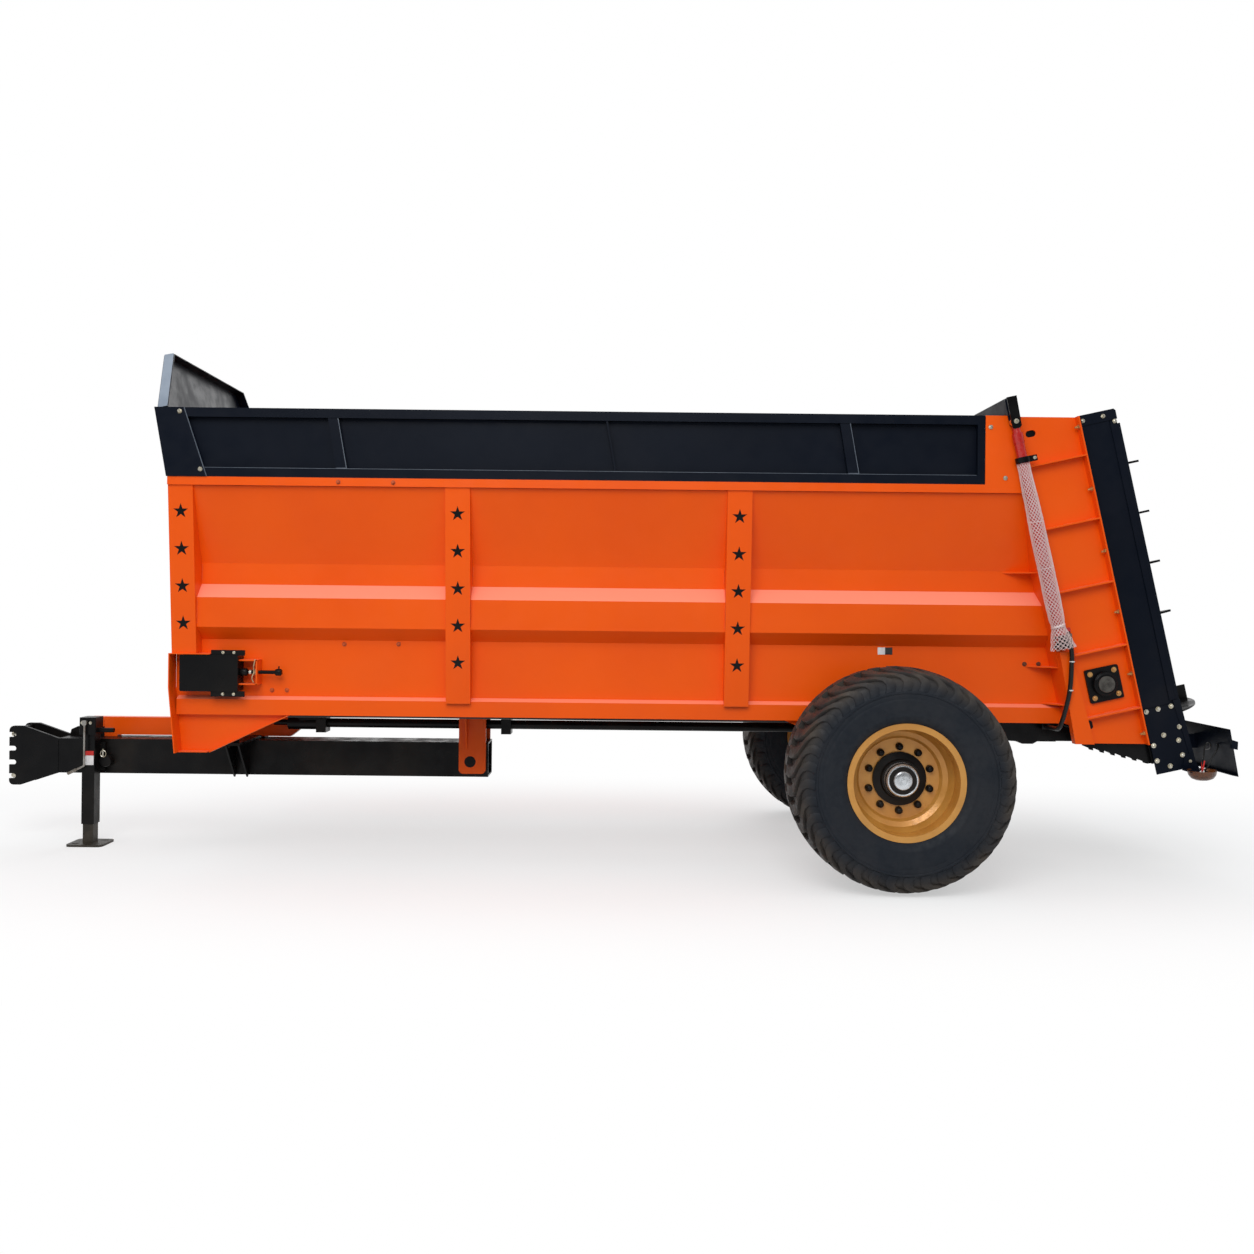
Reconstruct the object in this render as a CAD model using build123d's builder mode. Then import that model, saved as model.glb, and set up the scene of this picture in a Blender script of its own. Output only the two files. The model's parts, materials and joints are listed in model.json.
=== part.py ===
"""Manure spreader on one axle: a narrow deep hopper with a chain-and-slat floor, a lifting
slurry gate and two upright beaters behind it, carried on wide flotation wheels and a drawbar.

Millimetres. +X is forward (the drawbar), +Y is left, +Z is up. The origin is on the ground,
under the middle of the machine's length and width. Stations along X are worked from the axle.
"""
from build123d import *
from math import atan2, cos, degrees, pi, radians, sin, tan
import os

os.makedirs("parts", exist_ok=True)

# ---------------------------------------------------------------- driving dimensions
front_reach = 5200.0       # drawbar head's front face, ahead of the axle
rear_reach = 1850.0        # light board's rear edge, behind the axle
axle_x = (rear_reach - front_reach) / 2
axle_z = 586.0             # axle height, also the tyre's radius
plate = 8.0                # heavy plate
sheet = 5.0                # body sheet
weld_gap = 0.3             # gap left where two curved faces would meet


def station(ahead):
    """X of a point this far ahead of the axle."""
    return axle_x + ahead


# Wheels
wheel_y = 1023.0           # middle of each tyre from the centre line
tyre_width = 503.0
bead_radius = 286.0
bead_half = 203.0
flange_radius = 305.0
rim_wall = 12.0
disc_offset = 45.0         # outer face of the wheel disc, outboard of the tyre's middle
stud_circle = 335.0
stud_count = 10
stud_radius = 11.0
pilot_radius = 140.0
spindle_radius = 45.0
running_gap = 0.05

# Chassis
rail_y = 735.0             # outer face of each bottom rail
rail_width = 115.0
rail_bottom = 849.0
rail_top = 935.0
sill = 952.0               # where the lower panel stands on the rail
rail_wall = 6.0
body_front = station(3940.0)
drawbar_width = 200.0
drawbar_low = 420.0
drawbar_top = 630.0
drawbar_rear = station(2270.0)
head_length = 300.0
head_start = station(front_reach - head_length)

# Hopper section, as (Y, Z) up the outer face of the left side
body_profile = [
    (700.0, sill),
    (700.0, 1267.0),
    (780.0, 1336.0),
    (780.0, 1500.0),
    (710.0, 1573.0),
    (710.0, 1690.0),
    (849.5, 2108.4),
]
top_rail_low = 2110.0
top_rail_high = 2155.0
top_rail_y = 870.0
top_rail_width = 70.0
board_low = top_rail_high
board_high = 2530.0
board_y = 830.0
board_frame = 50.0
floor_top = 1136.0

# Chain floor
drive_x = station(-1168.0)
idler_x = station(3730.0)
chain_z = 1078.0

# Rear end: everything behind the body leans with the top forward
lean = 12.7
end_x = station(-995.5)    # the body's end plane where it crosses the rail's underside
end_z = 849.0
housing_depth = 378.0      # from the body's end plane to the rear flange, square to the lean
housing_y = 830.0          # inner face of each side plate
shield_depth = 212.0
rib_height = 47.0
lean_top = 1620.0          # top of the rear end, measured up the lean
beater_depth = 480.0       # beater axis behind the body's end plane
beater_y = 400.0
tip_radius = 390.0
flight_radius = 300.0
core_radius = 80.0
flight_pitch = 298.0
disc_radius = 378.0
gate_stroke = 950.0

side_lean = Plane(
    origin=(end_x, 0, end_z),
    x_dir=(-cos(radians(lean)), 0, sin(radians(lean))),
    z_dir=(0, 1, 0),
)
lean_up = Vector(sin(radians(lean)), 0, cos(radians(lean)))
lean_back = Vector(-cos(radians(lean)), 0, sin(radians(lean)))
end_plane = Plane(origin=(end_x, 0, end_z), x_dir=(0, 1, 0), z_dir=-lean_back)


def lean_point(back, up, across=0.0):
    """Point this far behind the body's end plane, up the lean and to the left."""
    return Vector(end_x, across, end_z) + lean_back * back + lean_up * up


def lean_x(back, z):
    """X at height z on the line that runs up the lean this far behind the body's end plane."""
    return end_x - back / cos(radians(lean)) + (z - end_z) * tan(radians(lean))


def side(y):
    """Plane facing right at this Y: local x is X and local y is Z."""
    return Plane.XZ.offset(-y)


def save(builder, label):
    """Label a finished piece and write it."""
    builder.part.label = label
    export_step(builder.part, f"parts/{label}.step")


def save_pair(builder, label):
    """Write the left piece and its mirror image as two nodes."""
    save(builder, f"{label}_left")
    with BuildPart() as right:
        mirror(builder.part, about=Plane.XZ)
    save(right, f"{label}_right")


# ================================================================ wheels
wheel_axis = Axis((axle_x, 0, axle_z), (0, 1, 0))
wheel_section = Plane(origin=(axle_x, wheel_y, axle_z), x_dir=(0, 1, 0), z_dir=(1, 0, 0))

tyre_half = tyre_width / 2
bead_heel = bead_half - 3
lip_half = 222.0
lip_radius = flange_radius + 6
shoulder_radius = 505.0
tread_edge = 205.0
tread_edge_radius = 566.0
with BuildPart() as tyre:
    with BuildSketch(wheel_section):
        with BuildLine():
            Polyline(
                (-lip_half, lip_radius),
                (-bead_heel, lip_radius - 4),
                (-bead_heel, bead_radius),
                (bead_heel, bead_radius),
                (bead_heel, lip_radius - 4),
                (lip_half, lip_radius),
            )
            ThreePointArc((lip_half, lip_radius), (tyre_half, 410), (236, shoulder_radius))
            ThreePointArc((236, shoulder_radius), (228, 542), (tread_edge, tread_edge_radius))
            ThreePointArc((tread_edge, tread_edge_radius), (0, axle_z), (-tread_edge, tread_edge_radius))
            ThreePointArc((-tread_edge, tread_edge_radius), (-228, 542), (-236, shoulder_radius))
            ThreePointArc((-236, shoulder_radius), (-tyre_half, 410), (-lip_half, lip_radius))
        make_face()
    revolve(axis=wheel_axis)
save_pair(tyre, "tyre")

well_radius = 250.0
seat_radius = bead_radius - weld_gap
with BuildPart() as rim:
    with BuildSketch(wheel_section):
        with BuildLine():
            Polyline(
                (-bead_half - 14, flange_radius),
                (-bead_half - 2, flange_radius),
                (-bead_half - 2, seat_radius),
                (-150, seat_radius),
                (-100, well_radius + rim_wall),
                (60, well_radius + rim_wall),
                (110, seat_radius),
                (bead_half + 2, seat_radius),
                (bead_half + 2, flange_radius),
                (bead_half + 14, flange_radius),
                (bead_half + 14, seat_radius - rim_wall),
                (110, seat_radius - rim_wall),
                (75, well_radius),
                (60, 225),
                (disc_offset, 212),
                (disc_offset, pilot_radius + weld_gap),
                (disc_offset - rim_wall, pilot_radius + weld_gap),
                (disc_offset - rim_wall, 220),
                (45, well_radius),
                (-100, well_radius),
                (-150, seat_radius - rim_wall),
                (-bead_half - 14, seat_radius - rim_wall),
                close=True,
            )
        make_face()
    revolve(axis=wheel_axis)
    with BuildSketch(side(wheel_y + disc_offset)):
        with Locations((axle_x, axle_z)):
            with PolarLocations(stud_circle / 2, stud_count, start_angle=90):
                Circle(stud_radius + 1)
    extrude(amount=rim_wall, mode=Mode.SUBTRACT)
save_pair(rim, "rim")

drum_radius = 190.0
hub_inner = -130.0
cap_face = 135.0
with BuildPart() as hub:
    with BuildSketch(wheel_section):
        with BuildLine():
            Polyline(
                (hub_inner, spindle_radius + running_gap),
                (hub_inner, 175),
                (hub_inner + 20, drum_radius),
                (disc_offset - rim_wall, drum_radius),
                (disc_offset - rim_wall, pilot_radius),
                (disc_offset + 16, pilot_radius),
                (disc_offset + 26, 105),
                (disc_offset + 50, 100),
                (disc_offset + 50, 90),
                (cap_face - 12, 90),
                (cap_face, 78),
                (cap_face, 40),
                (cap_face - 6, 36),
                (cap_face - 6, 0),
                (70, 0),
                (70, spindle_radius + running_gap),
                close=True,
            )
        make_face()
    revolve(axis=wheel_axis)
save_pair(hub, "hub")

# ================================================================ axle
beam_size = 120.0
beam_end = 880.0
with BuildPart() as axle_beam:
    with BuildSketch(side(beam_end)):
        with Locations((axle_x, axle_z)):
            RectangleRounded(beam_size, beam_size, 12)
            Rectangle(beam_size - 24, beam_size - 24, mode=Mode.SUBTRACT)
    extrude(amount=2 * beam_end)
    for facing in (1, -1):
        with BuildSketch(side(facing * (beam_end - 20))):
            with Locations((axle_x, axle_z)):
                Circle(spindle_radius)
        extrude(amount=-facing * (wheel_y + 62 - beam_end + 20))
        with BuildSketch(side(facing * (beam_end - 20))):
            with Locations((axle_x, axle_z)):
                Rectangle(beam_size - 24, beam_size - 24)
        extrude(amount=-facing * 20)
save(axle_beam, "axle_beam")

bracket_top_half = 560.0
bracket_foot_half = 110.0
bracket_y = 700.0
beam_top = axle_z + beam_size / 2
with BuildPart() as axle_brackets:
    for outer in (bracket_y, 560.0):
        with BuildSketch(side(outer)):
            with BuildLine():
                Polyline(
                    (axle_x - bracket_top_half, rail_bottom),
                    (axle_x + bracket_top_half, rail_bottom),
                    (axle_x + bracket_foot_half, beam_top + 20),
                    (axle_x - bracket_foot_half, beam_top + 20),
                    close=True,
                )
            make_face()
        extrude(amount=12)
    with BuildSketch(Plane.XY.offset(beam_top)):
        with Locations((axle_x, (bracket_y + 548) / 2)):
            Rectangle(2 * bracket_foot_half + 20, bracket_y - 548)
    extrude(amount=20)
    with BuildSketch(Plane.XY.offset(rail_bottom - 12)):
        with Locations((axle_x, (bracket_y + 548) / 2)):
            Rectangle(2 * bracket_top_half - 160, bracket_y - 548)
    extrude(amount=12)
    mirror(about=Plane.XZ)
save(axle_brackets, "axle_brackets")

# ================================================================ chassis
rail_front = station(3930.0)
with BuildPart() as chassis_rails:
    with BuildSketch(Plane.YZ.offset(rail_front)):
        with BuildLine():
            Polyline(
                (rail_y, rail_bottom),
                (rail_y, rail_top),
                (rail_y - 30, sill),
                (rail_y - rail_width, sill),
                (rail_y - rail_width, rail_bottom),
                close=True,
            )
        make_face()
        with BuildLine():
            Polyline(
                (rail_y - rail_wall, rail_bottom + rail_wall),
                (rail_y - rail_wall, rail_top - rail_wall),
                (rail_y - 32, sill - rail_wall),
                (rail_y - rail_width + rail_wall, sill - rail_wall),
                (rail_y - rail_width + rail_wall, rail_bottom + rail_wall),
                close=True,
            )
        make_face(mode=Mode.SUBTRACT)
    extrude(amount=-(rail_front - end_x + 60))
    split(bisect_by=end_plane, keep=Keep.TOP)
    mirror(about=Plane.XZ)
save(chassis_rails, "chassis_rails")

cross_inner = rail_y - rail_width
cross_low = rail_bottom + 2
cross_stations = [3300.0, 2365.0, 2165.0, 1200.0, 0.0, -600.0]
with BuildPart() as cross_members:
    with BuildSketch(Plane.XZ.offset(-cross_inner)):
        with Locations(*[(station(s), cross_low + 39) for s in cross_stations]):
            Rectangle(90, 78)
            Rectangle(78, 66, mode=Mode.SUBTRACT)
    extrude(amount=2 * cross_inner)
save(cross_members, "cross_members")

bracket_face = 700.0
bracket_low = 640.0
nose_x = station(3917.0)
lip_x = station(3952.0)
lip_bend = 1000.0
shelf_z = 1190.0


def lip_front(z):
    """X of the front lip's outer face at this height, below its bend."""
    return nose_x + (lip_x - nose_x) * (z - bracket_low) / (lip_bend - bracket_low)


with BuildPart() as front_brackets:
    with BuildSketch(side(bracket_face)):
        with BuildLine():
            Polyline(
                (lip_front(rail_bottom), rail_bottom),
                (nose_x, bracket_low),
                (station(3740), bracket_low),
                (station(3300), rail_bottom),
                close=True,
            )
        make_face()
    extrude(amount=10)
    for start, finish in (
        ((nose_x, bracket_low), (station(3740), bracket_low)),
        ((station(3740), bracket_low), (station(3300), rail_bottom)),
    ):
        edge_plane = Plane(
            origin=(start[0], bracket_face - 10, start[1]),
            x_dir=(finish[0] - start[0], 0, finish[1] - start[1]),
            z_dir=(0, 1, 0),
        )
        run = ((finish[0] - start[0]) ** 2 + (finish[1] - start[1]) ** 2) ** 0.5
        with BuildSketch(edge_plane):
            with Locations((run / 2 - 6, sheet / 2)):
                Rectangle(run - 12, sheet)
        extrude(amount=60)
    with BuildSketch(side(bracket_face + 100)):
        with BuildLine():
            Polyline(
                (lip_x, shelf_z),
                (lip_x, lip_bend),
                (nose_x, bracket_low),
                (nose_x - 6, bracket_low),
                (lip_x - 6, lip_bend),
                (lip_x - 6, shelf_z),
                close=True,
            )
        make_face()
    extrude(amount=100)
    with BuildSketch(Plane.XY.offset(shelf_z - sheet)):
        with Locations(((lip_x + station(3725)) / 2, bracket_face + 50)):
            Rectangle(lip_x - station(3725), 100)
    extrude(amount=sheet)
    mirror(about=Plane.XZ)
save(front_brackets, "front_brackets")

bolster_low = 790.0
with BuildPart() as front_bolster:
    with BuildSketch(side(bracket_face - 10)):
        with BuildLine():
            Polyline(
                (station(3920), rail_bottom),
                (station(3912), bolster_low),
                (station(3520), bolster_low),
                (station(3440), rail_bottom),
                close=True,
            )
        make_face()
        offset(amount=-8, mode=Mode.SUBTRACT)
    extrude(amount=2 * (bracket_face - 10))
save(front_bolster, "front_bolster")

# ================================================================ drawbar
with BuildPart() as drawbar_tube:
    with BuildSketch(Plane.YZ.offset(drawbar_rear)):
        with Locations((0, (drawbar_low + drawbar_top) / 2)):
            Rectangle(drawbar_width, drawbar_top - drawbar_low)
            Rectangle(drawbar_width - 20, drawbar_top - drawbar_low - 20, mode=Mode.SUBTRACT)
    extrude(amount=head_start - drawbar_rear)
    pivot_x = station(2378)
    pivot_z = 515.0
    pivot_pin_radius = 34.0
    with BuildSketch(side(drawbar_width / 2)):
        with Locations((pivot_x, pivot_z)):
            Circle(pivot_pin_radius + weld_gap)
    extrude(amount=drawbar_width, mode=Mode.SUBTRACT)
save(drawbar_tube, "drawbar_tube")

head_low = 343.0
head_high = 703.0
head_front = station(front_reach)
hitch_face = head_front - 38
hitch_mid = (head_low + head_high) / 2
hitch_pitch = 84.0
hitch_half = 65.0
hitch_hole_radius = 11.0
with BuildPart() as drawbar_head:
    with BuildSketch(side(drawbar_width / 2)):
        with BuildLine():
            Polyline(
                (head_start, drawbar_low),
                (head_front - 70, head_low),
                (head_front, head_low),
                (head_front, head_high),
                (head_front - 90, head_high),
                (head_start, drawbar_top),
                close=True,
            )
        head_outline = make_face()
        fillet(head_outline.vertices().group_by(Axis.X)[-1], radius=28)
    extrude(amount=20)
    with BuildSketch(side(drawbar_width / 2)):
        with Locations((head_front - 12, hitch_mid)):
            with GridLocations(0, hitch_pitch, 1, 4):
                SlotOverall(60, 30)
    extrude(amount=20, mode=Mode.SUBTRACT)
    mirror(about=Plane.XZ)
    with BuildSketch(Plane.YZ.offset(hitch_face - 22)):
        with Locations((0, hitch_mid)):
            Rectangle(drawbar_width - 40, head_high - head_low - 20)
            with GridLocations(2 * hitch_half - 30, hitch_pitch, 2, 4):
                Circle(hitch_hole_radius, mode=Mode.SUBTRACT)
    extrude(amount=22)
save(drawbar_head, "drawbar_head")

bolster_x = station(3790)
with BuildPart() as drawbar_bolster:
    with BuildSketch(Plane.XY.offset(drawbar_top)):
        with Locations((bolster_x, 0)):
            Rectangle(180, 760)
            with Locations((0, -65)):
                Rectangle(200, 74, mode=Mode.SUBTRACT)
    extrude(amount=16)
    for ahead in (3810.0, 3733.0):
        for facing in (1, -1):
            with BuildSketch(Plane.YZ.offset(station(ahead))):
                with BuildLine():
                    Polyline(
                        (facing * drawbar_width / 2, drawbar_top),
                        (facing * drawbar_width / 2, drawbar_low + 6),
                        (facing * (drawbar_width / 2 + 14), drawbar_low - 12),
                        (facing * (drawbar_width / 2 + 34), drawbar_low + 10),
                        (facing * 290, drawbar_top),
                        close=True,
                    )
                make_face()
            extrude(amount=10)
save(drawbar_bolster, "drawbar_bolster")

stay_y = -65.0
with BuildPart() as drawbar_stay:
    with BuildSketch(side(stay_y + 30)):
        with BuildLine():
            Polyline(
                (station(4680), drawbar_top),
                (station(4600), drawbar_top),
                (station(4600), 640),
                (station(3520), 640),
                (station(3400), 733),
                (station(3600), 733),
                (station(3600), bolster_low),
                (station(3680), bolster_low),
                (station(3680), 733),
                (station(4680), 733),
                close=True,
            )
        make_face()
    extrude(amount=60)
    with BuildSketch(side(stay_y + 10)):
        with BuildLine():
            Polyline(
                (station(4670), drawbar_top),
                (station(4905), drawbar_top),
                (station(4895), drawbar_top + 38),
                (station(4855), drawbar_top + 56),
                (station(4670), drawbar_top + 56),
                close=True,
            )
        lug_outline = make_face()
        fillet(lug_outline.vertices().group_by(Axis.X)[-1], radius=8)
    extrude(amount=20)
save(drawbar_stay, "drawbar_stay")

lug_face = drawbar_width / 2 + 25
with BuildPart() as pivot_lugs:
    with BuildSketch(side(lug_face)):
        with BuildLine():
            Polyline(
                (station(2250), cross_low),
                (station(2283), cross_low - 60),
                (station(2283), 442),
                (station(2447), 442),
                (station(2447), cross_low),
                close=True,
            )
        lug_outline = make_face()
        fillet(lug_outline.vertices().group_by(Axis.Y)[0], radius=28)
        with Locations((pivot_x, pivot_z)):
            Circle(pivot_pin_radius + weld_gap, mode=Mode.SUBTRACT)
    extrude(amount=20)
    with BuildSketch(Plane.YZ.offset(station(2395))):
        with BuildLine():
            Polyline((lug_face, 590), (lug_face, cross_low), (lug_face + 90, cross_low), close=True)
        make_face()
    extrude(amount=10)
    mirror(about=Plane.XZ)
save(pivot_lugs, "pivot_lugs")

with BuildPart() as pivot_pin:
    with BuildSketch(side(lug_face + 2)):
        with Locations((pivot_x, pivot_z)):
            Circle(pivot_pin_radius)
    extrude(amount=2 * lug_face + 4)
save(pivot_pin, "pivot_pin")

buffer_y = 300.0
with BuildPart() as spring_buffers:
    with BuildSketch(Plane.XY.offset(drawbar_top + 16)):
        with Locations((bolster_x, buffer_y), (bolster_x, -buffer_y)):
            Circle(60)
    extrude(amount=bolster_low - drawbar_top - 16)
save(spring_buffers, "spring_buffers")

# ---------------------------------------------------------------- parking jack
jack_x = station(4668.0)
jack_y = 165.0
jack_size = 76.0
jack_wall = 6.0
jack_foot_z = 12.0
jack_low = 127.0
jack_top = 770.0
jack_head_height = 104.0
leg_size = jack_size - 2 * jack_wall - 1
with BuildPart() as jack_tube:
    with BuildSketch(Plane.XY.offset(jack_low)):
        with Locations((jack_x, jack_y)):
            Rectangle(jack_size, jack_size)
            Rectangle(jack_size - 2 * jack_wall, jack_size - 2 * jack_wall, mode=Mode.SUBTRACT)
    extrude(amount=jack_top - jack_head_height - jack_low)
    with BuildSketch(Plane.XY.offset(jack_top - jack_head_height)):
        with Locations((jack_x, jack_y)):
            RectangleRounded(98, 104, 5)
            Rectangle(jack_size - 2 * jack_wall, jack_size - 2 * jack_wall, mode=Mode.SUBTRACT)
    extrude(amount=jack_head_height - 8)
    with BuildSketch(Plane.XY.offset(jack_top - 8)):
        with Locations((jack_x, jack_y)):
            RectangleRounded(98, 104, 5)
    extrude(amount=8)
    with BuildSketch(Plane.YZ.offset(jack_x - 49 - 88)):
        with Locations((jack_y, jack_top - 80)):
            Circle(14)
    extrude(amount=88)
    with BuildSketch(Plane.XY.offset(drawbar_low + 20)):
        with Locations((jack_x, (drawbar_width / 2 + jack_y - jack_size / 2) / 2)):
            Rectangle(130, jack_y - jack_size / 2 - drawbar_width / 2)
    extrude(amount=drawbar_top - drawbar_low - 40)
save(jack_tube, "jack_tube")

with BuildPart() as jack_leg:
    with BuildSketch(Plane.XY):
        with Locations((jack_x, jack_y)):
            RectangleRounded(220, 190, 30)
            with Locations((65, 55), (-65, -55)):
                SlotOverall(46, 18, mode=Mode.SUBTRACT)
    extrude(amount=jack_foot_z)
    with BuildSketch(Plane.XY.offset(jack_foot_z)):
        with Locations((jack_x, jack_y)):
            Rectangle(leg_size, leg_size)
            Rectangle(leg_size - 10, leg_size - 10, mode=Mode.SUBTRACT)
    extrude(amount=620 - jack_foot_z)
save(jack_leg, "jack_leg")

crank_z = 742.0
crank_x = jack_x + 10
crank_face = jack_y + 52
crank_y = crank_face + 16
crank_low = 482.0
with BuildPart() as jack_crank:
    with BuildSketch(side(crank_face + 8)):
        with Locations((crank_x, crank_z)):
            Circle(10)
    extrude(amount=8)
    with BuildSketch(side(crank_y + 8)):
        with Locations((crank_x, crank_z - 2)):
            RectangleRounded(26, 30, 5)
    extrude(amount=16)
    with BuildLine():
        handle = FilletPolyline(
            (crank_x, crank_y, crank_z - 14),
            (crank_x, crank_y, crank_low),
            (crank_x + 45, crank_y, crank_low - 22),
            radius=14,
        )
    with BuildSketch(Plane(origin=handle @ 0, z_dir=handle % 0)):
        Circle(6)
    sweep(path=handle)
    with BuildSketch(Plane(origin=handle @ 1, z_dir=handle % 1)):
        Circle(9)
    extrude(amount=58)
save(jack_crank, "jack_crank")

# ================================================================ hopper
front_wall = 8.0
side_front = body_front - front_wall
with BuildPart() as hopper_side:
    with BuildSketch(Plane.YZ.offset(side_front)):
        with BuildLine():
            Polyline(*body_profile)
            offset(amount=sheet, side=Side.LEFT, kind=Kind.INTERSECTION)
        make_face()
    extrude(amount=-(side_front - end_x + 20))
    split(bisect_by=end_plane, keep=Keep.TOP)
    with BuildSketch(side(body_profile[0][0])):
        with Locations((idler_x - 30, chain_z)):
            SlotOverall(200, 64)
    extrude(amount=sheet, mode=Mode.SUBTRACT)
save_pair(hopper_side, "hopper_side")

with BuildPart() as hopper_front:
    with BuildSketch(Plane.YZ.offset(side_front)):
        with BuildLine():
            Polyline(*body_profile, (0, body_profile[-1][1]), (0, sill), close=True)
        make_face()
        mirror(about=Plane.YZ)
    extrude(amount=front_wall)
save(hopper_front, "hopper_front")

with BuildPart() as top_rails:
    with BuildSketch(Plane.YZ.offset(body_front)):
        with Locations((top_rail_y - top_rail_width / 2, (top_rail_low + top_rail_high) / 2)):
            Rectangle(top_rail_width, top_rail_high - top_rail_low)
            Rectangle(top_rail_width - 8, top_rail_high - top_rail_low - 8, mode=Mode.SUBTRACT)
    extrude(amount=-(body_front - end_x))
    split(bisect_by=end_plane, keep=Keep.TOP)
    mirror(about=Plane.XZ)
    with BuildSketch(Plane.YZ.offset(body_front - 8)):
        with Locations((0, (top_rail_low + top_rail_high) / 2)):
            Rectangle(2 * (top_rail_y - top_rail_width), top_rail_high - top_rail_low)
    extrude(amount=8)
    for face in (top_rail_y, -top_rail_y + 30):
        with BuildSketch(side(face)):
            with BuildLine():
                Polyline(
                    (station(-502), top_rail_high),
                    (station(-502), board_high),
                    (station(-628), board_high),
                    (station(-702), top_rail_high),
                    close=True,
                )
            make_face()
        extrude(amount=30)
save(top_rails, "top_rails")

with BuildPart() as hopper_floor:
    with BuildSketch(Plane.XY.offset(floor_top - 6)):
        with Locations(((station(3600) + station(-1000)) / 2, 0)):
            Rectangle(4600, 2 * (body_profile[0][0] - sheet))
    extrude(amount=6)
    with BuildSketch(Plane.XZ.offset(-(body_profile[0][0] - sheet))):
        with Locations(*[(station(s), floor_top - 36) for s in (3300, 2365, 1200, 0, -800)]):
            Rectangle(60, 60)
            Rectangle(50, 50, mode=Mode.SUBTRACT)
    extrude(amount=2 * (body_profile[0][0] - sheet))
save(hopper_floor, "hopper_floor")

# Posts: a folded box over the body's side, its face leaning out, pierced by a row of stars
post_width = 135.0
post_low = 925.0
post_face_low = 760.0
post_face_high = 860.0
post_lean = degrees(atan2(post_face_high - post_face_low, top_rail_low - post_low))
star_radius = 40.0
star_inner = star_radius * 0.382
star_top = 1968.0
star_pitch = 204.0
star_points = [
    (r * sin(pi * k / 5), r * cos(pi * k / 5))
    for k, r in enumerate([star_radius, star_inner] * 5)
]
# station, foot height, number of stars
posts = [(3872.5, shelf_z, 4), (2364.0, post_low, 5), (826.0, post_low, 5)]


def post_face(z):
    """Y of a post's outer face at this height."""
    return post_face_low + (post_face_high - post_face_low) * (z - post_low) / (top_rail_low - post_low)


with BuildPart() as side_posts:
    for ahead, foot, stars in posts:
        inner_line = [point for point in body_profile if point[1] > foot]
        if foot == post_low:
            inner_line = [(rail_y, post_low), (rail_y, rail_top), (rail_y - 30, sill)] + inner_line
        else:
            inner_line = [(body_profile[0][0], foot)] + inner_line
        with BuildSketch(Plane.YZ.offset(station(ahead) - post_width / 2)):
            with BuildLine():
                Polyline(
                    *inner_line,
                    (post_face(top_rail_low), top_rail_low),
                    (post_face(foot), foot),
                    close=True,
                )
            make_face()
        extrude(amount=post_width)
        with BuildSketch(Plane.YZ.offset(station(ahead) - post_width / 2 + sheet)):
            with BuildLine():
                Polyline(
                    *inner_line,
                    (post_face(top_rail_low) - sheet, top_rail_low),
                    (post_face(foot) - sheet, foot),
                    close=True,
                )
            make_face()
        extrude(amount=post_width - 2 * sheet, mode=Mode.SUBTRACT)
        for k in range(stars):
            z = star_top - k * star_pitch
            star_plane = Plane(
                origin=(station(ahead), post_face(z) + 1, z),
                x_dir=(-1, 0, 0),
                z_dir=(0, cos(radians(post_lean)), -sin(radians(post_lean))),
            )
            with BuildSketch(star_plane):
                with BuildLine():
                    Polyline(*star_points, close=True)
                make_face()
            extrude(amount=-sheet - 3, mode=Mode.SUBTRACT)
    mirror(about=Plane.XZ)
save(side_posts, "side_posts")

# ---------------------------------------------------------------- extension boards
board_front = station(3925.0)
board_rear = station(-500.0)
board_depth = 35.0
rib_stations = [3000.0, 1500.0, 220.0]
head_lean = 10.7
with BuildPart() as side_board:
    with BuildSketch(side(board_y + 4)):
        with BuildLine():
            Polyline(
                (board_rear, board_low),
                (board_front, board_low),
                (board_front + (board_high - board_low) * 0.19, board_high),
                (board_rear, board_high),
                close=True,
            )
        make_face()
    extrude(amount=4)
    for low in (board_low, board_high - board_frame):
        front_x = board_front + (low - board_low) * 0.19
        with BuildSketch(Plane.YZ.offset(board_rear)):
            with Locations((board_y + 4 + board_depth / 2, low + board_frame / 2)):
                Rectangle(board_depth, board_frame)
                Rectangle(board_depth - 6, board_frame - 6, mode=Mode.SUBTRACT)
        extrude(amount=front_x - board_rear)
    with BuildSketch(Plane.XY.offset(board_low + board_frame)):
        with Locations((board_rear + 20, board_y + 4 + board_depth / 2)):
            Rectangle(40, board_depth)
    extrude(amount=board_high - board_low - 2 * board_frame)
    for ahead in rib_stations:
        with BuildSketch(side(board_y + 4 + board_depth - 5)):
            with BuildLine():
                Polyline(
                    (station(ahead), board_low + board_frame),
                    (station(ahead) + 10, board_low + board_frame),
                    (station(ahead) + 60, board_high - board_frame),
                    (station(ahead) + 50, board_high - board_frame),
                    close=True,
                )
            make_face()
        extrude(amount=board_depth - 5)
save_pair(side_board, "side_board")

head_z = 2870.0
head_plane = Plane(
    origin=(station(3940), 0, board_low + 1),
    x_dir=(0, 1, 0),
    z_dir=(cos(radians(head_lean)), 0, -sin(radians(head_lean))),
)
head_shoulder = (board_high - board_low) / cos(radians(head_lean))
head_crown = (head_z - board_low) / cos(radians(head_lean))
with BuildPart() as headboard:
    with BuildSketch(head_plane):
        with BuildLine():
            Polyline(
                (-(board_y - 4), 0),
                ((board_y - 4), 0),
                (board_y - 4, head_shoulder),
                (585, head_crown),
                (-585, head_crown),
                (-(board_y - 4), head_shoulder),
                close=True,
            )
        make_face()
    extrude(amount=4)
    with BuildSketch(head_plane):
        with BuildLine():
            Polyline(
                (-(board_y - 4), head_shoulder),
                (-585, head_crown),
                (585, head_crown),
                (board_y - 4, head_shoulder),
            )
            offset(amount=5, side=Side.RIGHT, kind=Kind.INTERSECTION)
        make_face()
    extrude(amount=-55)
save(headboard, "headboard")

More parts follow.
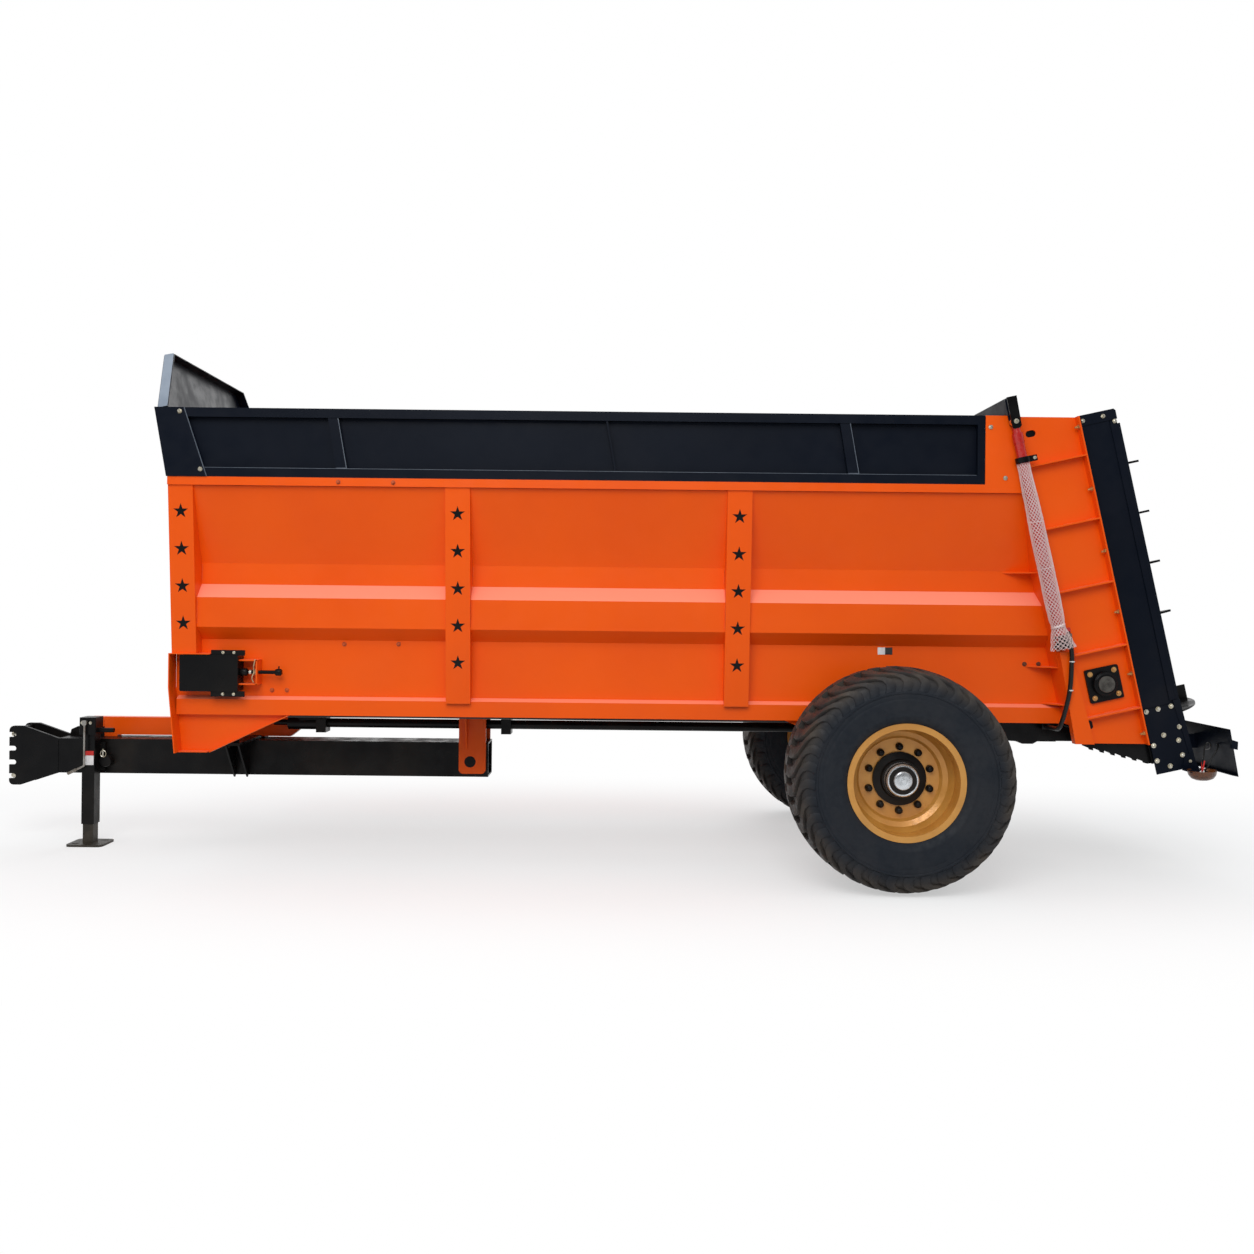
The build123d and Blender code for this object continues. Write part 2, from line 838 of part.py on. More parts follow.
with BuildPart() as corner_gussets:
    with BuildSketch(side(board_y + 4 + board_depth + 6)):
        with BuildLine():
            Polyline(
                (station(3945), board_low),
                (station(3725), board_low),
                (station(3850), board_high),
                (station(4012), board_high),
                close=True,
            )
        make_face()
    extrude(amount=6)
    mirror(about=Plane.XZ)
save(corner_gussets, "corner_gussets")

# ================================================================ chain-and-slat floor
chain_radius = 75.0
chain_half = 8.0
chain_rows = [-580.0, -120.0, 120.0, 580.0]
chain_width = 22.0
slat_pitch = 402.0
chain_span = idler_x - drive_x
with BuildPart() as floor_chains:
    for row in chain_rows:
        with BuildSketch(side(row + chain_width / 2)):
            with Locations(((drive_x + idler_x) / 2, chain_z)):
                SlotCenterToCenter(chain_span, 2 * (chain_radius + chain_half))
                SlotCenterToCenter(chain_span, 2 * (chain_radius - chain_half), mode=Mode.SUBTRACT)
        extrude(amount=chain_width)
    for strand_z in (chain_z + chain_radius + chain_half, chain_z - chain_radius - chain_half - 26):
        for middle in (-350.0, 350.0):
            with BuildSketch(Plane.XY.offset(strand_z)):
                with Locations(((drive_x + idler_x) / 2, middle)):
                    with GridLocations(slat_pitch, 0, 12, 1):
                        Rectangle(50, 520)
            extrude(amount=26)
save(floor_chains, "floor_chains")

sprocket_radius = chain_radius - chain_half - weld_gap
shaft_radius = 27.5
for name, x, reach in (("chain_drive_shaft", drive_x, 880.0), ("chain_idler_shaft", idler_x, 745.0)):
    with BuildPart() as shaft:
        with BuildSketch(side(reach)):
            with Locations((x, chain_z)):
                Circle(shaft_radius)
        extrude(amount=2 * reach)
        for row in chain_rows:
            with BuildSketch(side(row + 9)):
                with Locations((x, chain_z)):
                    Circle(sprocket_radius)
            extrude(amount=18)
    save(shaft, name)

bearing_plane = Plane(
    origin=(drive_x, housing_y + plate, chain_z),
    x_dir=side_lean.x_dir,
    z_dir=(0, 1, 0),
)
with BuildPart() as shaft_bearings:
    with BuildSketch(bearing_plane):
        RectangleRounded(185, 185, 10)
        Circle(shaft_radius + weld_gap, mode=Mode.SUBTRACT)
    extrude(amount=14)
    with BuildSketch(bearing_plane.offset(14)):
        Circle(64)
        Circle(shaft_radius + weld_gap, mode=Mode.SUBTRACT)
    extrude(amount=26)
    mirror(about=Plane.XZ)
save(shaft_bearings, "shaft_bearings")

guard_rear = station(3570.0)
guard_front = station(3890.0)
screw_y = 752.0
screw_z = 1088.0
screw_radius = 12.0
with BuildPart() as tensioner_guards:
    with BuildSketch(side(800)):
        with Locations(((guard_rear + guard_front) / 2, 1082)):
            RectangleRounded(guard_front - guard_rear, 200, 10)
            Rectangle(guard_front - guard_rear - 8, 192, mode=Mode.SUBTRACT)
    extrude(amount=100)
    with BuildSketch(side(800)):
        with Locations(((guard_rear + guard_front) / 2, 1082)):
            RectangleRounded(guard_front - guard_rear, 200, 10)
    extrude(amount=4)
    with BuildSketch(side(792)):
        with Locations((station(3627), 1082 + 113), (station(3627), 1082 - 113)):
            Rectangle(186, 30)
    extrude(amount=6)
    with BuildSketch(Plane.YZ.offset(guard_rear - 1)):
        with Locations((screw_y, screw_z)):
            Circle(screw_radius + weld_gap)
    extrude(amount=6, mode=Mode.SUBTRACT)
    mirror(about=Plane.XZ)
save(tensioner_guards, "tensioner_guards")

with BuildPart() as tensioner_screws:
    with BuildSketch(Plane.YZ.offset(station(3300))):
        with Locations((screw_y, screw_z)):
            Circle(screw_radius)
    extrude(amount=idler_x - 50 - station(3300))
    with BuildSketch(side(770)):
        with Locations((idler_x, chain_z)):
            RectangleRounded(104, 120, 10)
            Circle(shaft_radius + weld_gap, mode=Mode.SUBTRACT)
    extrude(amount=770 - 705)
    with BuildSketch(Plane.YZ.offset(station(3470))):
        with Locations((740, screw_z)):
            Rectangle(80, 140)
            Rectangle(60, 124, mode=Mode.SUBTRACT)
    extrude(amount=guard_rear - station(3470))
    with BuildSketch(Plane.YZ.offset(station(3470))):
        with Locations((740, screw_z)):
            Rectangle(80, 140)
    extrude(amount=8)
    mirror(about=Plane.XZ)
save(tensioner_screws, "tensioner_screws")

# ================================================================ rear end
housing_top = 2530.0
housing_low = 752.0
rib_first = 23.5
rib_pitch = 350.5
rib_count = 5
pillar_depth = 30.0
cylinder_back = 20.0
cylinder_foot = 475.0
cylinder_eye = 1679.0
rib_start = 62.0
flange_top = 1231.0
guide_back = 70.0
gate_low = 354.0
# station of the tip, Y of the tip and height of each small rib between body and housing
small_ribs = [(-655.0, 710.0, 1678.0), (-790.0, 700.0, 1159.0), (-880.0, 700.0, 953.0)]
with BuildPart() as rear_frame:
    with BuildSketch(side(housing_y + plate)):
        with BuildLine():
            Polyline(
                (lean_x(0, housing_top), housing_top),
                (lean_x(housing_depth, housing_top), housing_top),
                (lean_x(housing_depth, housing_low), housing_low),
                (lean_x(0, housing_low), housing_low),
                close=True,
            )
        make_face()
        with Locations((drive_x, chain_z)):
            Circle(shaft_radius + 10, mode=Mode.SUBTRACT)
    extrude(amount=plate)
    with BuildSketch(side_lean.offset(housing_y - 1)):
        with Locations((117, 1603), (100, -14)):
            SlotOverall(56, 36)
    extrude(amount=plate + 2, mode=Mode.SUBTRACT)
    for tip, tip_y, rib_z in small_ribs:
        with BuildSketch(Plane.XY.offset(rib_z)):
            with BuildLine():
                Polyline(
                    (station(tip), tip_y),
                    (lean_x(plate, rib_z), housing_y),
                    (lean_x(plate, rib_z), tip_y),
                    close=True,
                )
            make_face()
        extrude(amount=6)
    with BuildSketch(side(housing_y + plate + rib_height)):
        with BuildLine():
            Polyline(
                (lean_x(housing_depth - plate, housing_top), housing_top),
                (lean_x(housing_depth, housing_top), housing_top),
                (lean_x(housing_depth, housing_low), housing_low),
                (lean_x(housing_depth - plate, housing_low), housing_low),
                close=True,
            )
        make_face()
        with BuildLine():
            Polyline(
                (lean_x(-16, housing_low), housing_low),
                (lean_x(85, housing_low), housing_low),
                (lean_x(64, 1250), 1250),
                (lean_x(5, 1250), 1250),
                close=True,
            )
        make_face()
    extrude(amount=rib_height)
    with BuildSketch(side_lean.offset(housing_y + plate)):
        with Locations(((housing_depth - plate + rib_start) / 2, rib_first + 2 * rib_pitch)):
            with GridLocations(0, rib_pitch, 1, rib_count):
                Rectangle(housing_depth - plate - rib_start, plate)
    extrude(amount=rib_height)
    with BuildSketch(end_plane):
        with BuildLine():
            Polyline(
                (body_profile[0][0] - sheet, 0),
                *[(y - sheet, (z - end_z) / cos(radians(lean))) for y, z in body_profile[:-1]],
                (housing_y - sheet, flange_top),
                (housing_y, flange_top),
                (housing_y, 0),
                close=True,
            )
        make_face()
    extrude(amount=-plate)
    with BuildSketch(side_lean.offset(housing_y - 45)):
        with Locations((guide_back, (gate_low + 1660) / 2)):
            Rectangle(plate, 1660 - gate_low)
    extrude(amount=45)
save_pair(rear_frame, "rear_frame")

shield_y = housing_y
shield_sheet = 6.0
shield_low = -184.0
shield_front = housing_depth
shield_rear = shield_front + shield_depth
with BuildPart() as beater_shield:
    with BuildSketch(side_lean.offset(shield_y)):
        with BuildLine():
            Polyline(
                (shield_front, shield_low),
                (shield_rear, shield_low),
                (shield_rear, lean_top),
                (shield_front, lean_top),
                close=True,
            )
        shield_outline = make_face()
        fillet(shield_outline.vertices().group_by(Axis.X)[-1].sort_by(Axis.Y)[-1], radius=24)
    extrude(amount=shield_sheet)
    with BuildSketch(side_lean.offset(shield_y + shield_sheet)):
        with Locations((shield_front + 3, lean_top / 2 - 10)):
            Rectangle(6, lean_top + 20)
        with Locations((shield_rear - 19, lean_top / 2 - 10)):
            Rectangle(38, lean_top - 60)
    extrude(amount=6)
    with BuildSketch(side_lean.offset(shield_y + shield_sheet)):
        with Locations((shield_front + 3, lean_top / 2 - 10)):
            Rectangle(6, lean_top + 20)
    extrude(amount=rib_height)
save_pair(beater_shield, "beater_shield")

bed_front = 392.0
bed_rear = 600.0
bed_low = -300.0
bed_high = -160.0
bed_cheek_y = 808.0
cheek_teeth = 6
cheek_edge = []
for tooth in range(cheek_teeth):
    for along, drop in ((0.0, 0.0), (0.55, 6.0), (0.6, 14.0), (0.95, 14.0)):
        share = (tooth + along) / cheek_teeth
        cheek_edge.append((48 + share * 330, -126 - share * 160 - drop))
with BuildPart() as beater_bed:
    with BuildSketch(side_lean.offset(-shield_y)):
        with Locations(((bed_front + bed_rear) / 2, (bed_low + bed_high) / 2)):
            Rectangle(bed_rear - bed_front, bed_high - bed_low)
            Rectangle(bed_rear - bed_front - 20, bed_high - bed_low - 20, mode=Mode.SUBTRACT)
    extrude(amount=2 * shield_y)
    for y in (beater_y, -beater_y):
        with BuildSketch(Plane(origin=lean_point(beater_depth, bed_high, y), z_dir=lean_up)):
            Circle(40 - running_gap)
        extrude(amount=75)
    for y in (bed_cheek_y, 8 - bed_cheek_y):
        with BuildSketch(side_lean.offset(y - 8)):
            with BuildLine():
                Polyline(*cheek_edge, (bed_front + 4, bed_low), (bed_front + 4, -100), (48, -100), close=True)
            make_face()
        extrude(amount=8)
save(beater_bed, "beater_bed")

end_plate_y = shield_y + shield_sheet
lamp_top = 612.0
with BuildPart() as bed_end_plates:
    with BuildSketch(side_lean.offset(end_plate_y)):
        with BuildLine():
            Polyline((400, -360), (610, -360), (574, 0), (398, 0), close=True)
        make_face()
    extrude(amount=plate)
    with BuildSketch(side(end_plate_y + plate + 5)):
        with BuildLine():
            Polyline(
                (station(-1600), lamp_top),
                (station(-1700), lamp_top),
                (station(-1650), 700),
                (station(-1610), 700),
                close=True,
            )
        make_face()
    extrude(amount=5)
    with BuildSketch(Plane.XY.offset(lamp_top)):
        with Locations((station(-1650), 896)):
            Rectangle(100, 94)
    extrude(amount=5)
    mirror(about=Plane.XZ)
save(bed_end_plates, "bed_end_plates")

top_low = 1540.0
top_high = 1615.0
with BuildPart() as beater_top_beam:
    with BuildSketch(side_lean.offset(-shield_y)):
        with Locations((beater_depth, (top_low + top_high) / 2)):
            Rectangle(170, top_high - top_low)
            Rectangle(158, top_high - top_low - 12, mode=Mode.SUBTRACT)
    extrude(amount=2 * shield_y)
    for y in (beater_y, -beater_y):
        with BuildSketch(Plane(origin=lean_point(beater_depth, top_low, y), z_dir=-lean_up)):
            Circle(70)
        extrude(amount=26)
        with BuildSketch(Plane(origin=lean_point(beater_depth, top_low - 26, y), z_dir=-lean_up)):
            Circle(25 - running_gap)
        extrude(amount=46)
save(beater_top_beam, "beater_top_beam")

# ---------------------------------------------------------------- beaters
beater_low = -150.0
beater_high = 1505.0
disc_low = -75.0
paddle_height = 80.0
flight_low = 10.0
flight_high = 1440.0
flight_step = 30.0
foot_flight_radius = 165.0     # narrow where it turns beside the chain shaft
full_flight_up = 350.0         # the wide flighting and the knives clear the floor's slats
first_tip = 448.0
knife_count = 14
beater_foot = lean_point(beater_depth, 0, beater_y)
left_dir = Vector(0, 1, 0)


def helix_angle(up):
    """Angle of the flighting at this height, from straight back towards the left side."""
    return (up - first_tip) / flight_pitch * 360.0


def radial(angle):
    """Unit vector square to the beater's axis at this angle."""
    return lean_back * cos(radians(angle)) + left_dir * sin(radians(angle))


with BuildPart() as beater:
    flight_steps = round((flight_high - flight_low) / flight_pitch * 360 / flight_step)
    for k in range(flight_steps + 1):
        up = flight_low + k * flight_step / 360 * flight_pitch
        out = radial(helix_angle(up))
        section = Plane(origin=beater_foot + lean_up * up, x_dir=out, z_dir=out.cross(lean_up))
        reach = flight_radius if up > full_flight_up else foot_flight_radius
        with BuildSketch(section):
            with Locations(((reach + 50) / 2, 0)):
                Rectangle(reach - 50, 8)
    loft(ruled=True)
    with BuildSketch(Plane(origin=beater_foot + lean_up * beater_low, z_dir=lean_up)):
        Circle(core_radius)
    extrude(amount=beater_high - beater_low)
    with BuildSketch(Plane(origin=beater_foot + lean_up * disc_low, z_dir=lean_up)):
        Circle(disc_radius)
    extrude(amount=10)
    disc_top = Plane(origin=beater_foot + lean_up * (disc_low + 10), x_dir=lean_back, z_dir=lean_up)
    with BuildSketch(disc_top):
        with PolarLocations(210, 4):
            Rectangle(2 * (disc_radius - 210), 10)
    extrude(amount=paddle_height)
    for k in range(knife_count):
        up = first_tip + (k - 1) * flight_pitch / 4
        out = radial(helix_angle(up))
        blade = Plane(origin=beater_foot + lean_up * up, x_dir=out, z_dir=lean_up)
        with BuildSketch(blade):
            with BuildLine():
                Polyline(
                    (flight_radius - 60, -30),
                    (flight_radius + 30, -30),
                    (tip_radius - 1, -8),
                    (tip_radius - 1, 8),
                    (flight_radius + 20, 30),
                    (flight_radius - 60, 30),
                    close=True,
                )
            make_face()
        extrude(amount=12)
    with BuildSketch(Plane(origin=beater_foot + lean_up * beater_low, z_dir=lean_up)):
        Circle(40)
    extrude(amount=80, mode=Mode.SUBTRACT)
    with BuildSketch(Plane(origin=beater_foot + lean_up * beater_high, z_dir=-lean_up)):
        Circle(25)
    extrude(amount=50, mode=Mode.SUBTRACT)
save_pair(beater, "beater")

# ---------------------------------------------------------------- slurry gate
gate_front = 14.0
gate_half = 800.0
beam_low = 1735.0
beam_high = 1815.0
with BuildPart() as slurry_gate:
    with BuildSketch(side_lean.offset(-gate_half)):
        with Locations((gate_front + 3, (gate_low + beam_low) / 2)):
            Rectangle(6, beam_low - gate_low)
    extrude(amount=2 * gate_half)
    with BuildSketch(side_lean.offset(-gate_half + 50)):
        with Locations((gate_front + 6 + 20, (gate_low + beam_low) / 2)):
            with GridLocations(0, 300, 1, 4):
                Rectangle(40, 60)
                Rectangle(32, 52, mode=Mode.SUBTRACT)
    extrude(amount=2 * (gate_half - 50))
save(slurry_gate, "slurry_gate")

with BuildPart() as gate_beam:
    with BuildSketch(side_lean.offset(-885)):
        with Locations((29, (beam_low + beam_high) / 2)):
            Rectangle(48, beam_high - beam_low)
            Rectangle(36, beam_high - beam_low - 12, mode=Mode.SUBTRACT)
    extrude(amount=2 * 885)
    for face in (885, -893):
        with BuildSketch(side_lean.offset(face)):
            with Locations((25, (1659 + beam_high) / 2)):
                RectangleRounded(56, beam_high - 1659, 12)
        extrude(amount=8)
save(gate_beam, "gate_beam")

cylinder_y = 905.0
rod_radius = 15.0
bore_radius = 20.0
barrel_radius = 27.0
gland_low = cylinder_foot + 1085
gland_high = cylinder_foot + 1140


def cylinder_plane(up):
    """Plane square to the left cylinder's axis at this height up the lean."""
    return Plane(origin=lean_point(cylinder_back, up, cylinder_y), z_dir=lean_up)


clamp_low = 1452.0
hose_back = 64.0
hose_top = 512.0
hose_radius = 12.0
with BuildPart() as cylinder_barrels:
    with BuildSketch(cylinder_plane(cylinder_foot + 32)):
        Circle(barrel_radius)
    extrude(amount=gland_low - cylinder_foot - 32)
    with BuildSketch(cylinder_plane(gland_low)):
        Circle(barrel_radius + 2)
    extrude(amount=gland_high - gland_low)
    with BuildSketch(cylinder_plane(cylinder_foot + 50)):
        Circle(bore_radius)
    extrude(amount=gland_low - cylinder_foot - 50, mode=Mode.SUBTRACT)
    with BuildSketch(cylinder_plane(gland_low)):
        Circle(rod_radius + running_gap)
    extrude(amount=gland_high - gland_low, mode=Mode.SUBTRACT)
    with BuildSketch(side_lean.offset(cylinder_y - 12)):
        with Locations((cylinder_back, cylinder_foot)):
            Circle(22)
            with Locations((0, 18)):
                Rectangle(36, 36)
            Circle(12 + weld_gap, mode=Mode.SUBTRACT)
    extrude(amount=24)
    with BuildSketch(cylinder_plane(clamp_low)):
        Circle(barrel_radius + 11)
        Circle(barrel_radius - 2, mode=Mode.SUBTRACT)
    extrude(amount=30)
    with BuildSketch(side_lean.offset(cylinder_y - 10)):
        with Locations((cylinder_back + 52, clamp_low + 15)):
            Rectangle(46, 30)
        with Locations(((cylinder_back + barrel_radius + hose_back + 12) / 2 - 2, hose_top + 10)):
            Rectangle(hose_back + 16 - cylinder_back - barrel_radius, 20)
    extrude(amount=20)
    mirror(about=Plane.XZ)
save(cylinder_barrels, "cylinder_barrels")

with BuildPart() as cylinder_rods:
    with BuildSketch(cylinder_plane(cylinder_foot + 60)):
        Circle(bore_radius - running_gap)
    extrude(amount=40)
    with BuildSketch(cylinder_plane(cylinder_foot + 100)):
        Circle(rod_radius)
    extrude(amount=cylinder_eye - 21 - cylinder_foot - 100)
    with BuildSketch(side_lean.offset(cylinder_y - 12)):
        with Locations((cylinder_back, cylinder_eye)):
            Circle(25)
    extrude(amount=24)
    mirror(about=Plane.XZ)
save(cylinder_rods, "cylinder_rods")

with BuildPart() as cylinder_brackets:
    for ear in (cylinder_y - 24, cylinder_y + 14):
        with BuildSketch(side_lean.offset(ear)):
            with Locations((cylinder_back, cylinder_foot - 13)):
                RectangleRounded(48, 70, 12)
    extrude(amount=10)
    with BuildSketch(side_lean.offset(cylinder_y - 24)):
        with Locations((cylinder_back, cylinder_foot)):
            Circle(12)
    extrude(amount=48)
    with BuildSketch(side_lean.offset(housing_y + plate)):
        with Locations((cylinder_back, cylinder_foot - 40)):
            Rectangle(48, 16)
    extrude(amount=cylinder_y + 24 - housing_y - plate)
    mirror(about=Plane.XZ)
save(cylinder_brackets, "cylinder_brackets")

sleeve_low = 540.0
sleeve_high = 1440.0
with BuildPart() as net_sleeves:
    with BuildSketch(cylinder_plane(sleeve_low)):
        Circle(barrel_radius + 8)
        Circle(barrel_radius + weld_gap, mode=Mode.SUBTRACT)
    extrude(amount=sleeve_high - sleeve_low)
    mirror(about=Plane.XZ)
save(net_sleeves, "net_sleeves")

# ================================================================ driveline
shaft_line_y = 30.0
shaft_line_z = 735.0
tube_radius = 28.0
gearbox_front = station(-500.0)
gearbox_rear = station(-700.0)
with BuildPart() as driveline:
    for rear, front in (
        (station(2195), station(3270)),
        (gearbox_front, station(2135)),
        (lean_x(bed_front, shaft_line_z) + 12, gearbox_rear),
    ):
        with BuildSketch(Plane.YZ.offset(rear)):
            with Locations((shaft_line_y, shaft_line_z)):
                Circle(tube_radius)
        extrude(amount=front - rear)
save(driveline, "driveline")

with BuildPart() as shaft_hangers:
    for x_low, x_high in ((station(3270), station(3330)), (station(2135), station(2195))):
        with BuildSketch(Plane.YZ.offset(x_low)):
            with Locations((shaft_line_y, shaft_line_z)):
                Rectangle(110, 110)
            with Locations((shaft_line_y, (shaft_line_z + cross_low) / 2)):
                Rectangle(80, cross_low - shaft_line_z)
        extrude(amount=x_high - x_low)
    with BuildSketch(Plane.YZ.offset(gearbox_rear)):
        with Locations((shaft_line_y, (690 + cross_low) / 2)):
            Rectangle(190, cross_low - 690)
    extrude(amount=gearbox_front - gearbox_rear)
    for outer_y in (cross_inner + 18, -(cross_inner - 62)):
        with BuildSketch(side(outer_y)):
            with BuildLine():
                Polyline(
                    (station(-650), rail_bottom),
                    (station(-650), 742),
                    (station(-770), 736),
                    (station(-800), 722),
                    (station(-860), 722),
                    (station(-885), 736),
                    (station(-990), 736),
                    (station(-990), rail_bottom),
                    close=True,
                )
            make_face()
        extrude(amount=80)
save(shaft_hangers, "shaft_hangers")

pto_radius = 17.5
pto_front = station(3600.0)
with BuildPart() as pto_input:
    with BuildSketch(Plane.YZ.offset(station(3330))):
        with Locations((shaft_line_y, shaft_line_z)):
            Circle(42)
    extrude(amount=pto_front - 90 - station(3330))
    with BuildSketch(Plane.YZ.offset(pto_front - 90)):
        with Locations((shaft_line_y, shaft_line_z)):
            Circle(pto_radius)
    extrude(amount=90)
save(pto_input, "pto_input")

# ================================================================ gate hoses


def hose_arcs(points):
    """Bend radius at each inner point of a hose, as large as its shorter run allows."""
    arcs = []
    for before, corner, after in zip(points, points[1:], points[2:]):
        into = Vector(*corner) - Vector(*before)
        out = Vector(*after) - Vector(*corner)
        half_turn = radians(into.get_angle(out)) / 2
        arcs.append(0.45 * min(into.length, out.length) / tan(half_turn))
    return arcs


hose_end_y = 690.0
hose_end_z = rail_bottom - 23
hose_route = [
    tuple(lean_point(hose_back, hose_top, cylinder_y)),
    tuple(lean_point(hose_back, 400, cylinder_y)),
    (station(-962), cylinder_y, 1040),
    (station(-925), cylinder_y - 5, 885),
    (station(-915), cylinder_y - 35, hose_end_z + 4),
    (station(-915), hose_end_y, hose_end_z),
]
with BuildPart() as gate_hoses:
    with BuildLine():
        hose_line = FilletPolyline(*hose_route, radius=hose_arcs(hose_route))
    with BuildSketch(Plane(origin=hose_line @ 0, z_dir=hose_line % 0)):
        Circle(hose_radius)
    sweep(path=hose_line)
    with BuildSketch(Plane.XZ.offset(-hose_end_y)):
        with Locations((station(-915), (hose_end_z + rail_bottom) / 2 - 8)):
            Rectangle(44, rail_bottom - hose_end_z + 16)
    extrude(amount=34)
    mirror(about=Plane.XZ)
save(gate_hoses, "gate_hoses")

# ================================================================ light board
light_top = (-1803.0, 848.0)
light_low = (-rear_reach, 594.0)
light_half = 950.0
with BuildPart() as light_board:
    with BuildSketch(side(light_half)):
        with BuildLine():
            Polyline(
                (station(light_top[0]) + 32, light_top[1] + 6),
                (station(light_top[0]), light_top[1]),
                (station(light_low[0]), light_low[1]),
                (station(light_low[0]) + 32, light_low[1] + 6),
            )
            offset(amount=4, side=Side.LEFT, kind=Kind.INTERSECTION)
        make_face()
    extrude(amount=2 * light_half)
    for y in (560.0, -550.0):
        with BuildSketch(side(y)):
            with BuildLine():
                Polyline(
                    (lean_x(bed_rear, 700), 700),
                    (lean_x(bed_rear, 780), 780),
                    (station(-1813), 780),
                    (station(-1828), 700),
                    close=True,
                )
            make_face()
        extrude(amount=10)
save(light_board, "light_board")

lamp_x = station(-1672.0)
with BuildPart() as tail_lamps:
    with BuildSketch(Plane.XY.offset(lamp_top - 42)):
        with Locations((lamp_x, 915)):
            Circle(68)
    extrude(amount=42)
    mirror(about=Plane.XZ)
save(tail_lamps, "tail_lamps")
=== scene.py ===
"""Manure spreader with two vertical beaters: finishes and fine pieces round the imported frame."""

import json
import logging
import math
from dataclasses import dataclass
from enum import Enum
from typing import Any, Sequence

import bmesh
import bpy
from mathutils import Matrix, Vector, noise
from mathutils.bvhtree import BVHTree


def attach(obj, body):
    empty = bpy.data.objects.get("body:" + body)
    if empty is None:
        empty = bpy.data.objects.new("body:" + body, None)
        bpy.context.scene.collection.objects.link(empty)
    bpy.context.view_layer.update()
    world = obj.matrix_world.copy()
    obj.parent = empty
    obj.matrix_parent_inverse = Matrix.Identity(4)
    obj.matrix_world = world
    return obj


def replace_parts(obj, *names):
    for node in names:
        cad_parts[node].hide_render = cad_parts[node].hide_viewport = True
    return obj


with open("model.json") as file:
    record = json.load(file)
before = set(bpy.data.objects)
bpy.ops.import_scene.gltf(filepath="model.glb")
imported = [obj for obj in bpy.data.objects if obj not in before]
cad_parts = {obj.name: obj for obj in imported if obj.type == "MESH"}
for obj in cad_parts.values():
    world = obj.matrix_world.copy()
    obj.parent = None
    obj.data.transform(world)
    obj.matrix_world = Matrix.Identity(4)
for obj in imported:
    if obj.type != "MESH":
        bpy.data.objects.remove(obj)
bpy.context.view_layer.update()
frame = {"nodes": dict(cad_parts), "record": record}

LOG = logging.getLogger("spreader")
Point = tuple[float, float, float]
Colour = tuple[float, float, float]

AXLE_X = -1.675
AXLE_Z = 0.586
WHEEL_Y = 1.023
LEAN = math.radians(12.7)
END_X = AXLE_X - 0.9955
END_Z = 0.849
LEAN_UP = Vector((math.sin(LEAN), 0, math.cos(LEAN)))
LEAN_BACK = Vector((-math.cos(LEAN), 0, math.sin(LEAN)))


def station(ahead: float) -> float:
    """X of a point this far ahead of the axle."""
    return AXLE_X + ahead


def lean_point(back: float, up: float, across: float) -> Vector:
    """Point behind the body's end plane, up its lean and out to one side."""
    return Vector((END_X, across, END_Z)) + LEAN_BACK * back + LEAN_UP * up


class Side(Enum):
    """Which side of the machine a piece is on."""

    LEFT = 1
    RIGHT = -1

    @property
    def tag(self) -> str:
        """The side's word, as the frame's names end."""
        return self.name.lower()


class Body(str, Enum):
    """The frame's moving bodies that pieces ride on."""

    CHASSIS = "chassis"
    GATE = "gate"
    JACK = "jack"
    WHEEL_LEFT = "wheel_left"
    WHEEL_RIGHT = "wheel_right"
    BEATER_LEFT = "beater_left_body"
    BEATER_RIGHT = "beater_right_body"


# ---------------------------------------------------------------- node trees
class Graph:
    """Short calls that add and join the nodes of one tree."""

    def __init__(self, tree: bpy.types.NodeTree) -> None:
        """Keep the tree and empty it."""
        self.tree = tree
        tree.nodes.clear()

    def add(self, kind: str, inputs: dict[Any, Any] | None = None, **settings: Any) -> bpy.types.Node:
        """Add a node.

        Args:
            kind: The node's type name.
            inputs: Values or output sockets, by the input's name or index.
            settings: Properties of the node.

        Returns:
            The new node.
        """
        node = self.tree.nodes.new(kind)
        for name, value in settings.items():
            setattr(node, name, value)
        for name, value in (inputs or {}).items():
            if isinstance(value, bpy.types.NodeSocket):
                self.tree.links.new(value, node.inputs[name])
            else:
                node.inputs[name].default_value = value
        return node

    def math(self, operation: str, *values: Any, clamp: bool = False) -> bpy.types.NodeSocket:
        """Add a Math node and return its result."""
        node = self.add("ShaderNodeMath", dict(enumerate(values)), operation=operation, use_clamp=clamp)
        return node.outputs[0]

    def noise(self, place: Any, scale: float, detail: float = 3.0) -> bpy.types.NodeSocket:
        """Add a noise texture on these coordinates and return its value."""
        made = self.add("ShaderNodeTexNoise", {"Vector": place, "Scale": scale, "Detail": detail})
        return made.outputs["Fac"]

    def ramp(self, value: Any, low: float, high: float, to_low: float = 0.0, to_high: float = 1.0) -> Any:
        """Map a value smoothly from one range to another."""
        made = self.add(
            "ShaderNodeMapRange",
            {"Value": value, "From Min": low, "From Max": high, "To Min": to_low, "To Max": to_high},
            interpolation_type="SMOOTHSTEP",
        )
        return made.outputs["Result"]

    def blend(self, share: Any, first: Any, second: Any, mode: str = "MIX") -> bpy.types.NodeSocket:
        """Mix two colours.

        Args:
            share: Share of the second colour.
            first: The first colour.
            second: The second colour.
            mode: How they mix.

        Returns:
            The mixed colour.
        """
        made = self.add("ShaderNodeMix", data_type="RGBA", blend_type=mode)
        for index, value in ((0, share), (6, first), (7, second)):
            if isinstance(value, bpy.types.NodeSocket):
                self.tree.links.new(value, made.inputs[index])
            elif isinstance(value, tuple):
                made.inputs[index].default_value = (*value, 1.0)
            else:
                made.inputs[index].default_value = value
        return made.outputs[2]


